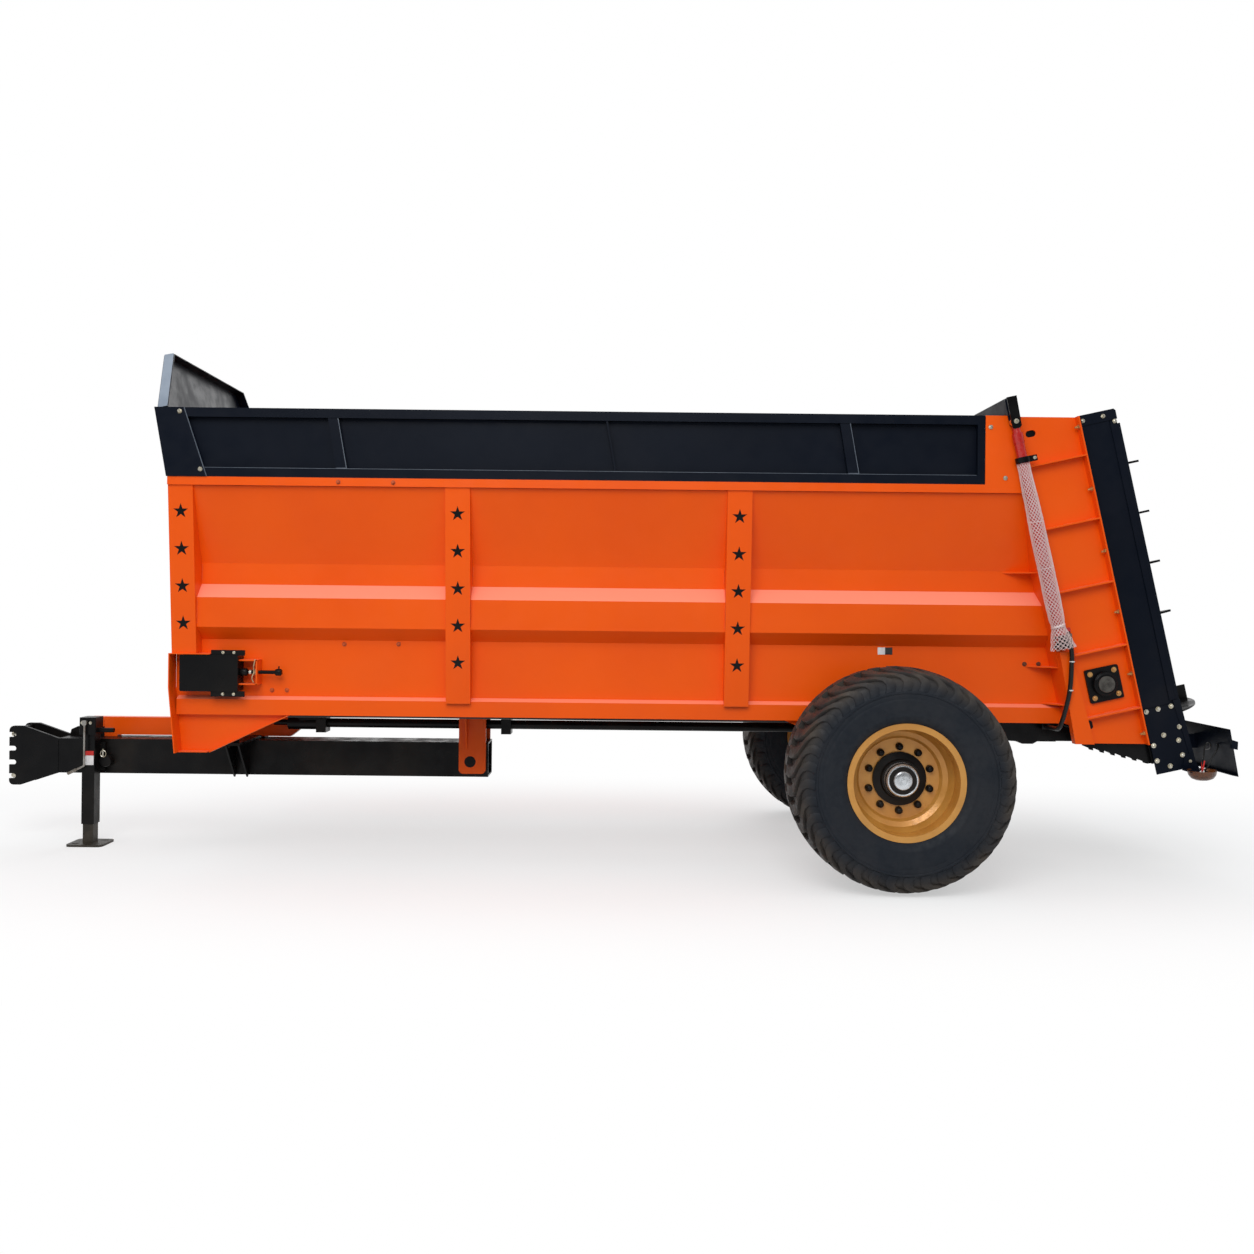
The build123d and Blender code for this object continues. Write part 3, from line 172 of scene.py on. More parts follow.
@dataclass(frozen=True)
class Dust:
    """Dirt that settles on a finish, heavier below a height."""

    colour: Colour = (0.16, 0.125, 0.09)
    low: float = 0.1
    high: float = 1.3
    amount: float = 0.25
    scale: float = 3.0


@dataclass(frozen=True)
class Finish:
    """A painted, rubber or metal surface with its mottling, grain and dirt, and on some a painted highlight
    on upward faces.
    """

    name: str
    colour: Colour
    shade: Colour
    roughness: float = 0.4
    roughness_spread: float = 0.1
    metallic: float = 0.0
    specular: float = 0.5
    coat: float = 0.0
    coat_roughness: float = 0.1
    patch_scale: float = 1.6
    grain_scale: float = 420.0
    grain_depth: float = 0.0002
    wave_scale: float = 0.0
    wave_depth: float = 0.0
    spots: float = 0.0
    # pale colour painted on faces that tilt upwards, a painted highlight of the bright sky
    film: Colour | None = None
    dust: Dust | None = None

    def colours(self, graph: Graph, place: Any) -> Any:
        """Make the colour of the surface from its two shades, its dirt and its painted highlight on upward
        faces.

        Args:
            graph: The material's nodes.
            place: Object coordinates.

        Returns:
            The colour socket.
        """
        patches = graph.ramp(graph.noise(place, self.patch_scale, 5.0), 0.35, 0.68)
        colour = graph.blend(patches, self.colour, self.shade)
        if self.spots:
            specks = graph.ramp(graph.noise(place, self.patch_scale * 55, 2.0), 0.66, 0.78, 0.0, self.spots)
            colour = graph.blend(specks, colour, self.shade, "MULTIPLY")
        # painted highlight: faces tilting up, most at ledge slopes, are blended towards a pale colour
        if self.film:
            facing = graph.add("ShaderNodeNewGeometry").outputs["Normal"]
            upward = graph.add("ShaderNodeSeparateXYZ", {"Vector": facing}).outputs["Z"]
            share = graph.math(
                "MULTIPLY", graph.ramp(upward, 0.42, 0.66), graph.ramp(upward, 0.8, 0.97, 0.78, 0.3)
            )
            colour = graph.blend(share, colour, self.film)
        if self.dust:
            height = graph.add("ShaderNodeSeparateXYZ", {"Vector": place}).outputs["Z"]
            low = graph.ramp(height, self.dust.low, self.dust.high, 1.0, 0.12)
            cloud = graph.ramp(graph.noise(place, self.dust.scale, 8.0), 0.42, 0.74)
            share = graph.math("MULTIPLY", graph.math("MULTIPLY", low, cloud), self.dust.amount)
            colour = graph.blend(share, colour, self.dust.colour)
        return colour

    def relief(self, graph: Graph, place: Any) -> Any:
        """Make the fine bump of the surface and return its normal.

        Args:
            graph: The material's nodes.
            place: Place on the piece.

        Returns:
            The bumped normal.
        """
        fine = graph.noise(place, self.grain_scale, 2.0)
        bump = graph.add("ShaderNodeBump", {"Strength": 0.6, "Distance": self.grain_depth, "Height": fine})
        if self.wave_depth:
            slow = graph.noise(place, self.wave_scale, 1.0)
            bump = graph.add(
                "ShaderNodeBump",
                {"Strength": 0.5, "Distance": self.wave_depth, "Height": slow, "Normal": bump.outputs[0]},
            )
        return bump.outputs[0]

    def build(self) -> bpy.types.Material:
        """Make the material, once for each finish.

        Returns:
            The material.
        """
        made = bpy.data.materials.get(f"{self.name}_surface")
        if made:
            return made
        made = bpy.data.materials.new(f"{self.name}_surface")
        made.use_nodes = True
        graph = Graph(made.node_tree)
        place = graph.add("ShaderNodeTexCoord").outputs["Object"]
        gloss = graph.ramp(
            graph.noise(place, self.patch_scale * 7, 6.0),
            0.3, 0.7,
            max(self.roughness - self.roughness_spread, 0.03),
            min(self.roughness + self.roughness_spread, 1.0),
        )
        shader = graph.add(
            "ShaderNodeBsdfPrincipled",
            {
                "Base Color": self.colours(graph, place),
                "Roughness": gloss,
                "Metallic": self.metallic,
                "Specular IOR Level": self.specular,
                "Coat Weight": self.coat,
                "Coat Roughness": self.coat_roughness,
                "Normal": self.relief(graph, place),
            },
        )
        graph.add("ShaderNodeOutputMaterial", {"Surface": shader.outputs[0]})
        made.diffuse_color = (*self.colour, 1.0)
        return made


@dataclass(frozen=True)
class TreadRubber(Finish):
    """Tyre rubber: blue-black walls, brown dust in the tread."""

    clean_radius: float = 0.47
    dusty_radius: float = 0.56
    tread_dust: Colour = (0.075, 0.06, 0.046)

    def colours(self, graph: Graph, place: Any) -> Any:
        """Shade the rubber by its distance from the wheel's axis.

        Args:
            graph: The material's nodes.
            place: Object coordinates.

        Returns:
            The colour socket.
        """
        base = super().colours(graph, place)
        parts = graph.add("ShaderNodeSeparateXYZ", {"Vector": place})
        ahead = graph.math("SUBTRACT", parts.outputs["X"], AXLE_X)
        above = graph.math("SUBTRACT", parts.outputs["Z"], AXLE_Z)
        squared = graph.math(
            "ADD", graph.math("MULTIPLY", ahead, ahead), graph.math("MULTIPLY", above, above)
        )
        radius = graph.math("SQRT", squared)
        tread = graph.ramp(radius, self.clean_radius, self.dusty_radius)
        cloud = graph.ramp(graph.noise(place, 9.0, 8.0), 0.3, 0.7, 0.35, 1.0)
        share = graph.math("MULTIPLY", graph.math("MULTIPLY", tread, cloud), 0.75)
        return graph.blend(share, base, self.tread_dust)


@dataclass(frozen=True)
class Lens(Finish):
    """A clear coloured lamp glass."""

    def build(self) -> bpy.types.Material:
        """Make the glass with a ribbed surface, once for each glass.

        Returns:
            The material.
        """
        made = bpy.data.materials.get(f"{self.name}_surface")
        if made:
            return made
        made = bpy.data.materials.new(f"{self.name}_surface")
        made.use_nodes = True
        graph = Graph(made.node_tree)
        place = graph.add("ShaderNodeTexCoord").outputs["Object"]
        ribs = graph.add("ShaderNodeTexWave", {"Vector": place, "Scale": 60.0}).outputs["Fac"]
        bump = graph.add("ShaderNodeBump", {"Strength": 0.35, "Distance": 0.001, "Height": ribs})
        shader = graph.add(
            "ShaderNodeBsdfPrincipled",
            {
                "Base Color": self.colours(graph, place),
                "Roughness": self.roughness,
                "Transmission Weight": 0.35,
                "IOR": 1.49,
                "Normal": bump.outputs[0],
            },
        )
        graph.add("ShaderNodeOutputMaterial", {"Surface": shader.outputs[0]})
        return made


ORANGE = Finish(
    "orange_paint",
    (0.86, 0.100, 0.002), (0.82, 0.090, 0.002),
    roughness=0.36,
    roughness_spread=0.06,
    specular=0.2,
    wave_scale=2.2,
    wave_depth=0.004,
    # painted highlight on the upward ledges of the orange panels
    film=(1.0, 0.33, 0.22),
    dust=Dust(colour=(0.42, 0.13, 0.05), high=1.6, amount=0.1),
)
BLACK = Finish(
    "black_paint",
    (0.0030, 0.0031, 0.0038), (0.0052, 0.0052, 0.0056),
    roughness=0.33,
    roughness_spread=0.1,
    specular=0.13,
    wave_scale=7.0,
    wave_depth=0.0015,
    dust=Dust(amount=0.1),
)
BOARD = Finish(
    "board_black",
    (0.0026, 0.0048, 0.0105), (0.0038, 0.0062, 0.0125),
    roughness=0.42,
    roughness_spread=0.08,
    specular=0.09,
    wave_scale=2.5,
    wave_depth=0.003,
    dust=Dust(amount=0.06, high=2.4),
)
GOLD = Finish(
    "rim_gold",
    (0.60, 0.285, 0.055), (0.53, 0.235, 0.04),
    roughness=0.36,
    roughness_spread=0.08,
    metallic=0.25,
    coat=0.2,
    patch_scale=6.0,
    dust=Dust(colour=(0.2, 0.1, 0.04), low=0.2, high=0.9, amount=0.22, scale=7.0),
)
RUBBER = TreadRubber(
    "tyre_rubber",
    (0.0085, 0.0120, 0.0180), (0.0150, 0.0175, 0.0225),
    roughness=0.62,
    roughness_spread=0.12,
    specular=0.22,
    patch_scale=5.0,
    grain_scale=700.0,
    grain_depth=0.0004,
    wave_scale=30.0,
    wave_depth=0.0012,
)
RED = Finish(
    "red_paint", (0.50, 0.012, 0.010), (0.42, 0.009, 0.008), roughness=0.3, coat=0.3, patch_scale=8.0
)
STEEL = Finish(
    "bare_steel",
    (0.34, 0.33, 0.31), (0.22, 0.19, 0.16),
    roughness=0.38,
    roughness_spread=0.14,
    metallic=0.9,
    patch_scale=18.0,
    spots=0.35,
)
CHROME = Finish(
    "rod_chrome", (0.72, 0.72, 0.73), (0.62, 0.63, 0.65), roughness=0.12, metallic=1.0, patch_scale=9.0
)
ZINC = Finish(
    "zinc_bolts",
    (0.62, 0.60, 0.53), (0.48, 0.43, 0.30),
    roughness=0.3,
    metallic=0.85,
    patch_scale=60.0,
    spots=0.2,
)
CAP = Finish(
    "hub_cap_zinc",
    (0.66, 0.69, 0.72), (0.48, 0.50, 0.52),
    roughness=0.26,
    metallic=0.8,
    patch_scale=30.0,
    grain_scale=260.0,
    grain_depth=0.0006,
    spots=0.25,
)
BRASS = Finish(
    "yellow_zinc",
    (0.62, 0.36, 0.13), (0.45, 0.24, 0.09),
    roughness=0.34,
    metallic=0.75,
    patch_scale=80.0,
    spots=0.4,
)
WORN = Finish(
    "worn_black", (0.030, 0.026, 0.021), (0.055, 0.046, 0.036), roughness=0.45, patch_scale=14.0, specular=0.2
)
# pale strips painted along board edges as highlights
EDGE = Finish("edge_sheen", (0.060, 0.075, 0.100), (0.090, 0.110, 0.140), roughness=0.4, patch_scale=9.0)
# pale colour painted on the headboard's sloped flange as its reflection of the bright sky
PAINTED_REFLECTION = Finish("flange_sheen", (0.240, 0.285, 0.350), (0.180, 0.220, 0.280), roughness=0.4, patch_scale=5.0)
BRONZE = Lens("lamp_bronze", (0.230, 0.075, 0.020), (0.120, 0.036, 0.010), roughness=0.18, patch_scale=30.0)
CAP_DULL = Finish(
    "bearing_cap_grey",
    (0.095, 0.090, 0.080), (0.060, 0.055, 0.050),
    roughness=0.5,
    metallic=0.6,
    patch_scale=40.0,
    spots=0.4,
)
RUST_ORANGE = Finish(
    "painted_rivets", (0.55, 0.085, 0.010), (0.40, 0.060, 0.008), roughness=0.4, patch_scale=60.0
)
RUST = Finish(
    "rusty_bolts", (0.16, 0.045, 0.015), (0.06, 0.025, 0.012), roughness=0.7, patch_scale=80.0, spots=0.5
)
BUFFER = Finish("buffer_rubber", (0.012, 0.012, 0.012), (0.02, 0.02, 0.02), roughness=0.7, patch_scale=12.0)
NET = Finish(
    "net_foam",
    (0.84, 0.66, 0.64), (0.80, 0.72, 0.72),
    roughness=0.6,
    patch_scale=12.0,
    grain_scale=900.0,
    grain_depth=0.0005,
)
HOSE = Finish(
    "hose_rubber", (0.004, 0.004, 0.004), (0.006, 0.006, 0.006), roughness=0.4, patch_scale=40.0, specular=0.3
)
CHAIN = Finish(
    "chain_steel",
    (0.16, 0.14, 0.12), (0.10, 0.07, 0.05),
    roughness=0.52,
    metallic=0.7,
    patch_scale=20.0,
    spots=0.5,
)
AMBER = Lens("lamp_amber", (0.75, 0.11, 0.008), (0.70, 0.09, 0.006), roughness=0.12, patch_scale=30.0)
PLATE_WHITE = Finish("plate_white", (0.80, 0.80, 0.80), (0.72, 0.72, 0.73), roughness=0.4, patch_scale=50.0)
PLATE_BLACK = Finish("plate_black", (0.02, 0.02, 0.022), (0.03, 0.03, 0.03), roughness=0.4, patch_scale=50.0)
PLATE_RED = Finish("plate_red", (0.60, 0.02, 0.015), (0.52, 0.018, 0.014), roughness=0.4, patch_scale=50.0)
TIE = Finish("tie_white", (0.72, 0.72, 0.70), (0.64, 0.64, 0.62), roughness=0.5, patch_scale=60.0)
CORD_TIE = Finish("beige_twine", (0.50, 0.36, 0.20), (0.42, 0.30, 0.16), roughness=0.8, patch_scale=90.0)

NODE_FINISHES: dict[str, Finish] = {
    "orange_paint": ORANGE,
    "black_paint": BLACK,
    "board_black": BOARD,
    "rim_gold": GOLD,
    "tyre_rubber": RUBBER,
    "red_paint": RED,
    "bare_steel": STEEL,
    "rod_chrome": CHROME,
    "buffer_rubber": BUFFER,
    "net_foam": NET,
    "hose_rubber": HOSE,
    "lamp_amber": AMBER,
    "chain_steel": CHAIN,
}
NODE_OWN_FINISHES: dict[str, Finish] = {"pivot_pin": BLACK, "pto_input": BLACK, "jack_leg": WORN}


def dress_frame() -> None:
    """Give every node of the frame the finish that its record names."""
    for row in frame["record"]["subparts"]:
        node = frame["nodes"][row["node"]]
        finish = NODE_OWN_FINISHES.get(row["node"], NODE_FINISHES[row["material_slot"]])
        node.data.materials.clear()
        node.data.materials.append(finish.build())
    LOG.info("dressed %d nodes", len(frame["nodes"]))


# ---------------------------------------------------------------- mesh tools
def keep_piece(
    name: str, mesh: bpy.types.Mesh, finish: Finish, body: str, smooth: float = 35.0
) -> bpy.types.Object:
    """Make an object of a finished mesh and let it ride on its body.

    Args:
        name: The piece's name.
        mesh: Its mesh, in the row's frame.
        finish: Its finish.
        body: The body it moves with.
        smooth: Faces that meet at less than this angle, in degrees, are shaded as one.

    Returns:
        The piece.
    """
    mesh.name = name
    if not mesh.materials:
        mesh.materials.append(finish.build())
    else:
        mesh.materials[0] = finish.build()
    mesh.shade_smooth()
    mesh.set_sharp_from_angle(angle=math.radians(smooth))
    made = bpy.data.objects.new(name, mesh)
    bpy.context.scene.collection.objects.link(made)
    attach(made, body)
    LOG.info("piece %s: %d faces", name, len(mesh.polygons))
    return made


class Sketch:
    """A mesh that several shapes are added to before it is kept."""

    def __init__(self) -> None:
        """Start empty."""
        self.bm = bmesh.new()

    def block(self, size: Sequence[float], place: Matrix, edge: float = 0.0015) -> None:
        """Add a block with eased edges.

        Args:
            size: Its three lengths.
            place: Where its middle goes and how it is turned.
            edge: Width of the eased edge.
        """
        part = bmesh.new()
        bmesh.ops.create_cube(part, size=1.0)
        bmesh.ops.scale(part, vec=Vector(size), verts=part.verts)
        if edge:
            bmesh.ops.bevel(part, geom=part.edges[:], offset=edge, segments=2, profile=0.6, affect="EDGES")
        self.take(part, place)

    def slab(self, outline: Sequence[tuple[float, float]], y_low: float, y_high: float) -> None:
        """Add a flat plate given by (x, z) corners that lies between two planes across the machine.

        Args:
            outline: Corners, as X and Z.
            y_low: One face's place across the machine.
            y_high: The other face's place.
        """
        part = bmesh.new()
        low = [part.verts.new((x, y_low, z)) for x, z in outline]
        high = [part.verts.new((x, y_high, z)) for x, z in outline]
        part.faces.new(low)
        part.faces.new(high)
        for k in range(len(outline)):
            after = (k + 1) % len(outline)
            part.faces.new((low[k], low[after], high[after], high[k]))
        bmesh.ops.recalc_face_normals(part, faces=part.faces)
        self.take(part)

    def station_slab(self, outline: Sequence[tuple[float, float]], y_low: float, y_high: float) -> None:
        """Add a slab whose corners are given by station and height."""
        self.slab([(station(ahead), z) for ahead, z in outline], y_low, y_high)

    def lean_slab(self, outline: Sequence[tuple[float, float]], y_low: float, y_high: float) -> None:
        """Add a slab whose corners are given behind the end plane and up its lean."""
        corners = [lean_point(back, up, 0.0) for back, up in outline]
        self.slab([(point.x, point.z) for point in corners], y_low, y_high)

    def take(self, part: bmesh.types.BMesh, place: Matrix | None = None) -> None:
        """Add another mesh, moved to its place, and free it.

        Args:
            part: The mesh to add.
            place: Where it goes, or as it is.
        """
        if place is not None:
            bmesh.ops.transform(part, matrix=place, verts=part.verts)
        held = bpy.data.meshes.new("held")
        part.to_mesh(held)
        part.free()
        self.bm.from_mesh(held)
        bpy.data.meshes.remove(held)

    def lathe(self, profile: Sequence[tuple[float, float]], place: Matrix, steps: int = 48) -> None:
        """Add a turned shape.

        Args:
            profile: (radius, height) points from one end to the other.
            place: Where the axis's foot goes; the shape's axis is its Z.
            steps: Faces round the axis.
        """
        part = bmesh.new()
        rings: list[list[bmesh.types.BMVert]] = []
        for radius, height in profile:
            if radius < 1e-6:
                rings.append([part.verts.new((0, 0, height))])
                continue
            turns = (2 * math.pi * k / steps for k in range(steps))
            rings.append(
                [part.verts.new((radius * math.cos(a), radius * math.sin(a), height)) for a in turns]
            )
        for low, high in zip(rings, rings[1:]):
            for k in range(steps):
                after = (k + 1) % steps
                if len(low) == 1 and len(high) == 1:
                    continue
                if len(low) == 1:
                    part.faces.new((low[0], high[after], high[k]))
                elif len(high) == 1:
                    part.faces.new((low[k], low[after], high[0]))
                else:
                    part.faces.new((low[k], low[after], high[after], high[k]))
        bmesh.ops.recalc_face_normals(part, faces=part.faces)
        self.take(part, place)

    def plate(
        self, outline: Sequence[tuple[float, float]], thick: float, place: Matrix, edge: float = 0.001
    ) -> None:
        """Add a flat plate of any outline, its lower face on the place's XY plane.

        Args:
            outline: Corners of the plate.
            thick: Thickness.
            place: Where it goes.
            edge: Width of the broken edge.
        """
        part = bmesh.new()
        face = part.faces.new([part.verts.new((x, y, 0)) for x, y in outline])
        raised = bmesh.ops.extrude_face_region(part, geom=[face])["geom"]
        top = [v for v in raised if isinstance(v, bmesh.types.BMVert)]
        bmesh.ops.translate(part, vec=(0, 0, thick), verts=top)
        bmesh.ops.recalc_face_normals(part, faces=part.faces)
        if edge:
            bmesh.ops.bevel(part, geom=part.edges[:], offset=edge, segments=1, affect="EDGES")
        self.take(part, place)

    def tube(self, points: Sequence[Sequence[float]], radius: float, sides: int = 12, ease: int = 6) -> None:
        """Add a round rod, wire or hose along a smooth line through points.

        Args:
            points: The line's points.
            radius: The tube's radius.
            sides: Faces round the tube.
            ease: Steps between each two points.
        """
        curve = bpy.data.curves.new("line", "CURVE")
        curve.dimensions = "3D"
        spline = curve.splines.new("NURBS")
        spline.points.add(len(points) - 1)
        for k, point in enumerate(points):
            spline.points[k].co = (*point, 1.0)
        spline.order_u = 3
        spline.use_endpoint_u = True
        spline.resolution_u = ease
        curve.bevel_depth = radius
        curve.bevel_resolution = max(sides // 4 - 1, 1)
        curve.use_fill_caps = True
        holder = bpy.data.objects.new("line", curve)
        mesh = bpy.data.meshes.new_from_object(holder)
        self.bm.from_mesh(mesh)
        bpy.data.objects.remove(holder)
        bpy.data.curves.remove(curve)
        bpy.data.meshes.remove(mesh)

    def keep(
        self, name: str, finish: Finish, body: str, smooth: float = 35.0, merge: bool = False
    ) -> bpy.types.Object:
        """Turn what was added into a piece of the machine.

        Args:
            name: The piece's name.
            finish: Its finish.
            body: The body it moves with.
            smooth: Angle in degrees under which faces are shaded as one.
            merge: Whether corners that meet are joined.

        Returns:
            The piece.
        """
        if merge:
            bmesh.ops.remove_doubles(self.bm, verts=self.bm.verts, dist=1e-5)
            bmesh.ops.recalc_face_normals(self.bm, faces=self.bm.faces)
        mesh = bpy.data.meshes.new(name)
        self.bm.to_mesh(mesh)
        self.bm.free()
        return keep_piece(name, mesh, finish, body, smooth)


def towards(origin: Sequence[float], direction: Sequence[float], up: Sequence[float] = (0, 0, 1)) -> Matrix:
    """Place whose Z points in a direction, its Y as near as can be to another.

    Args:
        origin: Where it is.
        direction: Where its Z points.
        up: What its Y comes near to.

    Returns:
        The place.
    """
    z = Vector(direction).normalized()
    x = Vector(up).cross(z)
    x = x.normalized() if x.length > 1e-5 else Vector((1, 0, 0))
    y = z.cross(x)
    return Matrix.Translation(Vector(origin)) @ Matrix((x, y, z)).transposed().to_4x4()


# ---------------------------------------------------------------- geometry nodes
class Grower:
    """A geometry tree with named inputs that turns a seed object into a finished mesh."""

    def __init__(self, name: str) -> None:
        """Make an empty tree with a geometry input and output.

        Args:
            name: The tree's name.
        """
        self.tree = bpy.data.node_groups.new(name, "GeometryNodeTree")
        self.graph = Graph(self.tree)
        self.tree.interface.new_socket("Geometry", in_out="INPUT", socket_type="NodeSocketGeometry")
        self.tree.interface.new_socket("Geometry", in_out="OUTPUT", socket_type="NodeSocketGeometry")
        self.given = self.graph.add("NodeGroupInput")
        self.keys: dict[str, str] = {}

    def size(self, name: str, kind: str, value: Any) -> bpy.types.NodeSocket:
        """Add a named input and return its socket inside the tree.

        Args:
            name: The input's name.
            kind: Its socket type.
            value: Its first value.

        Returns:
            The socket.
        """
        made = self.tree.interface.new_socket(name, in_out="INPUT", socket_type=f"NodeSocket{kind}")
        if value is not None:
            made.default_value = value
        self.keys[name] = made.identifier
        return self.given.outputs[name]

    def finish(self, geometry: bpy.types.NodeSocket) -> None:
        """Realize the result and give it the material of the Finish input.

        Args:
            geometry: What the tree made.
        """
        material = self.size("Finish", "Material", None)
        real = self.graph.add("GeometryNodeRealizeInstances", {"Geometry": geometry})
        paint = self.graph.add("GeometryNodeSetMaterial", {"Geometry": real.outputs[0], "Material": material})
        self.graph.add("NodeGroupOutput", {0: paint.outputs[0]})

    def grow(self, seed: bpy.types.Object, finish: Finish, sizes: dict[str, Any]) -> bpy.types.Mesh:
        """Run the tree on a seed object, remove the seed and return the mesh.

        Args:
            seed: The object the tree starts from.
            finish: The material set on the result.
            sizes: Values of the named inputs.

        Returns:
            The finished mesh.
        """
        step = seed.modifiers.new("grow", "NODES")
        step.node_group = self.tree
        for name, value in {**sizes, "Finish": finish.build()}.items():
            step[self.keys[name]] = value
        bpy.context.scene.collection.objects.link(seed)
        bpy.context.view_layer.update()
        evaluated = seed.evaluated_get(bpy.context.evaluated_depsgraph_get())
        mesh = bpy.data.meshes.new_from_object(evaluated)
        seed.modifiers.remove(step)
        bpy.data.objects.remove(seed)
        return mesh


def seed_points(points: Sequence[tuple[Sequence[float], Sequence[float]]]) -> bpy.types.Object:
    """Object with a vertex at each place and the direction it faces as an attribute.

    Args:
        points: Place and direction of each vertex.

    Returns:
        The object.
    """
    mesh = bpy.data.meshes.new("seed")
    mesh.from_pydata([tuple(p) for p, _ in points], [], [])
    facing = mesh.attributes.new("facing", "FLOAT_VECTOR", "POINT")
    for k, (_, direction) in enumerate(points):
        facing.data[k].vector = Vector(direction).normalized()
    return bpy.data.objects.new("seed", mesh)


def bolt_tree() -> Grower:
    """Hexagon heads on washers, one at each point, turned at random about its axis.

    Returns:
        The tree.
    """
    grower = Grower("bolt_rows")
    graph = grower.graph
    across = grower.size("Across flats", "Float", 0.024)
    height = grower.size("Head height", "Float", 0.012)
    washer = grower.size("Washer radius", "Float", 0.019)
    thick = grower.size("Washer thickness", "Float", 0.003)
    shank = grower.size("Shank radius", "Float", 0.008)
    reach = grower.size("Shank reach", "Float", 0.006)
    seed = grower.size("Seed", "Int", 3)
    radius = graph.math("DIVIDE", across, math.sqrt(3.0))
    head = graph.add("GeometryNodeMeshCylinder", {"Vertices": 6, "Radius": radius, "Depth": height})
    cap = graph.add(
        "GeometryNodeMeshCone",
        {
            "Vertices": 6,
            "Radius Top": graph.math("MULTIPLY", radius, 0.8),
            "Radius Bottom": radius,
            "Depth": graph.math("MULTIPLY", height, 0.14),
        },
    )
    ring = graph.add("GeometryNodeMeshCylinder", {"Vertices": 20, "Radius": washer, "Depth": thick})
    end = graph.add("GeometryNodeMeshCylinder", {"Vertices": 12, "Radius": shank, "Depth": reach})
    stack = graph.add("GeometryNodeJoinGeometry")

    def lifted(part: bpy.types.NodeSocket, lift: Any) -> None:
        """Raise one part of the bolt and add it to the stack."""
        offset = graph.add("ShaderNodeCombineXYZ", {"Z": lift}).outputs[0]
        moved = graph.add("GeometryNodeTransform", {"Geometry": part, "Translation": offset})
        graph.tree.links.new(moved.outputs[0], stack.inputs[0])

    lifted(ring.outputs["Mesh"], graph.math("MULTIPLY", thick, 0.5))
    lifted(head.outputs["Mesh"], graph.math("ADD", thick, graph.math("MULTIPLY", height, 0.5)))
    lifted(cap.outputs["Mesh"], graph.math("ADD", thick, height))
    top = graph.math("ADD", graph.math("ADD", thick, height), graph.math("MULTIPLY", reach, 0.5))
    lifted(end.outputs["Mesh"], top)
    facing = graph.add("GeometryNodeInputNamedAttribute", {"Name": "facing"}, data_type="FLOAT_VECTOR")
    turned = graph.add("FunctionNodeAlignRotationToVector", {"Vector": facing.outputs[0]}, axis="Z")
    spin = graph.add("FunctionNodeRandomValue", {"Seed": seed}, data_type="FLOAT")
    spin.inputs[2].default_value = 0.0
    spin.inputs[3].default_value = math.tau
    about = graph.add("ShaderNodeCombineXYZ", {"Z": spin.outputs[1]})
    local = graph.add("FunctionNodeEulerToRotation", {0: about.outputs[0]})
    both = graph.add(
        "FunctionNodeRotateRotation",
        {"Rotation": turned.outputs[0], "Rotate By": local.outputs[0]},
        rotation_space="LOCAL",
    )
    placed = graph.add(
        "GeometryNodeInstanceOnPoints",
        {"Points": grower.given.outputs[0], "Instance": stack.outputs[0], "Rotation": both.outputs[0]},
    )
    grower.finish(placed.outputs[0])
    return grower


def ring_tree() -> Grower:
    """The seed's own mesh repeated round a line across the machine.

    Returns:
        The tree.
    """
    grower = Grower("round_the_wheel")
    graph = grower.graph
    count = grower.size("Count", "Int", 10)
    start = grower.size("Start angle", "Float", 0.0)
    centre = grower.size("Centre", "Vector", (0.0, 0.0, 0.0))
    line = graph.add("GeometryNodeMeshLine", {"Count": count, "Offset": (0.0, 0.0, 0.0)})
    index = graph.add("GeometryNodeInputIndex").outputs[0]
    share = graph.math("DIVIDE", index, count)
    angle = graph.math("ADD", graph.math("MULTIPLY", share, math.tau), start)
    turn = graph.add("ShaderNodeCombineXYZ", {"Y": angle}).outputs[0]
    placed = graph.add(
        "GeometryNodeInstanceOnPoints",
        {
            "Points": line.outputs[0],
            "Instance": grower.given.outputs[0],
            "Rotation": graph.add("FunctionNodeEulerToRotation", {0: turn}).outputs[0],
        },
    )
    moved = graph.add("GeometryNodeTransform", {"Geometry": placed.outputs[0], "Translation": centre})
    grower.finish(moved.outputs[0])
    return grower


def strand_tree() -> Grower:
    """Round strands along every edge of the seed, pushed about a little by noise.

    Returns:
        The tree.
    """
    grower = Grower("net_strands")
    graph = grower.graph
    radius = grower.size("Strand radius", "Float", 0.0018)
    sway = grower.size("Sway", "Float", 0.004)
    seed = grower.size("Seed", "Float", 1.0)
    place = graph.add("GeometryNodeInputPosition").outputs[0]
    wobble = graph.add(
        "ShaderNodeTexNoise",
        {"Vector": place, "Scale": 26.0, "Detail": 2.0, "W": seed},
        noise_dimensions="4D",
    )
    centred = graph.add(
        "ShaderNodeVectorMath", {0: wobble.outputs["Color"], 1: (0.5, 0.5, 0.5)}, operation="SUBTRACT"
    )
    push = graph.add("ShaderNodeVectorMath", {0: centred.outputs[0], "Scale": sway}, operation="SCALE")
    moved = graph.add(
        "GeometryNodeSetPosition", {"Geometry": grower.given.outputs[0], "Offset": push.outputs[0]}
    )
    lines = graph.add("GeometryNodeMeshToCurve", {"Mesh": moved.outputs[0]})
    section = graph.add("GeometryNodeCurvePrimitiveCircle", {"Resolution": 4, "Radius": radius})
    tubes = graph.add(
        "GeometryNodeCurveToMesh",
        {"Curve": lines.outputs[0], "Profile Curve": section.outputs[0], "Fill Caps": True},
    )
    grower.finish(tubes.outputs[0])
    return grower


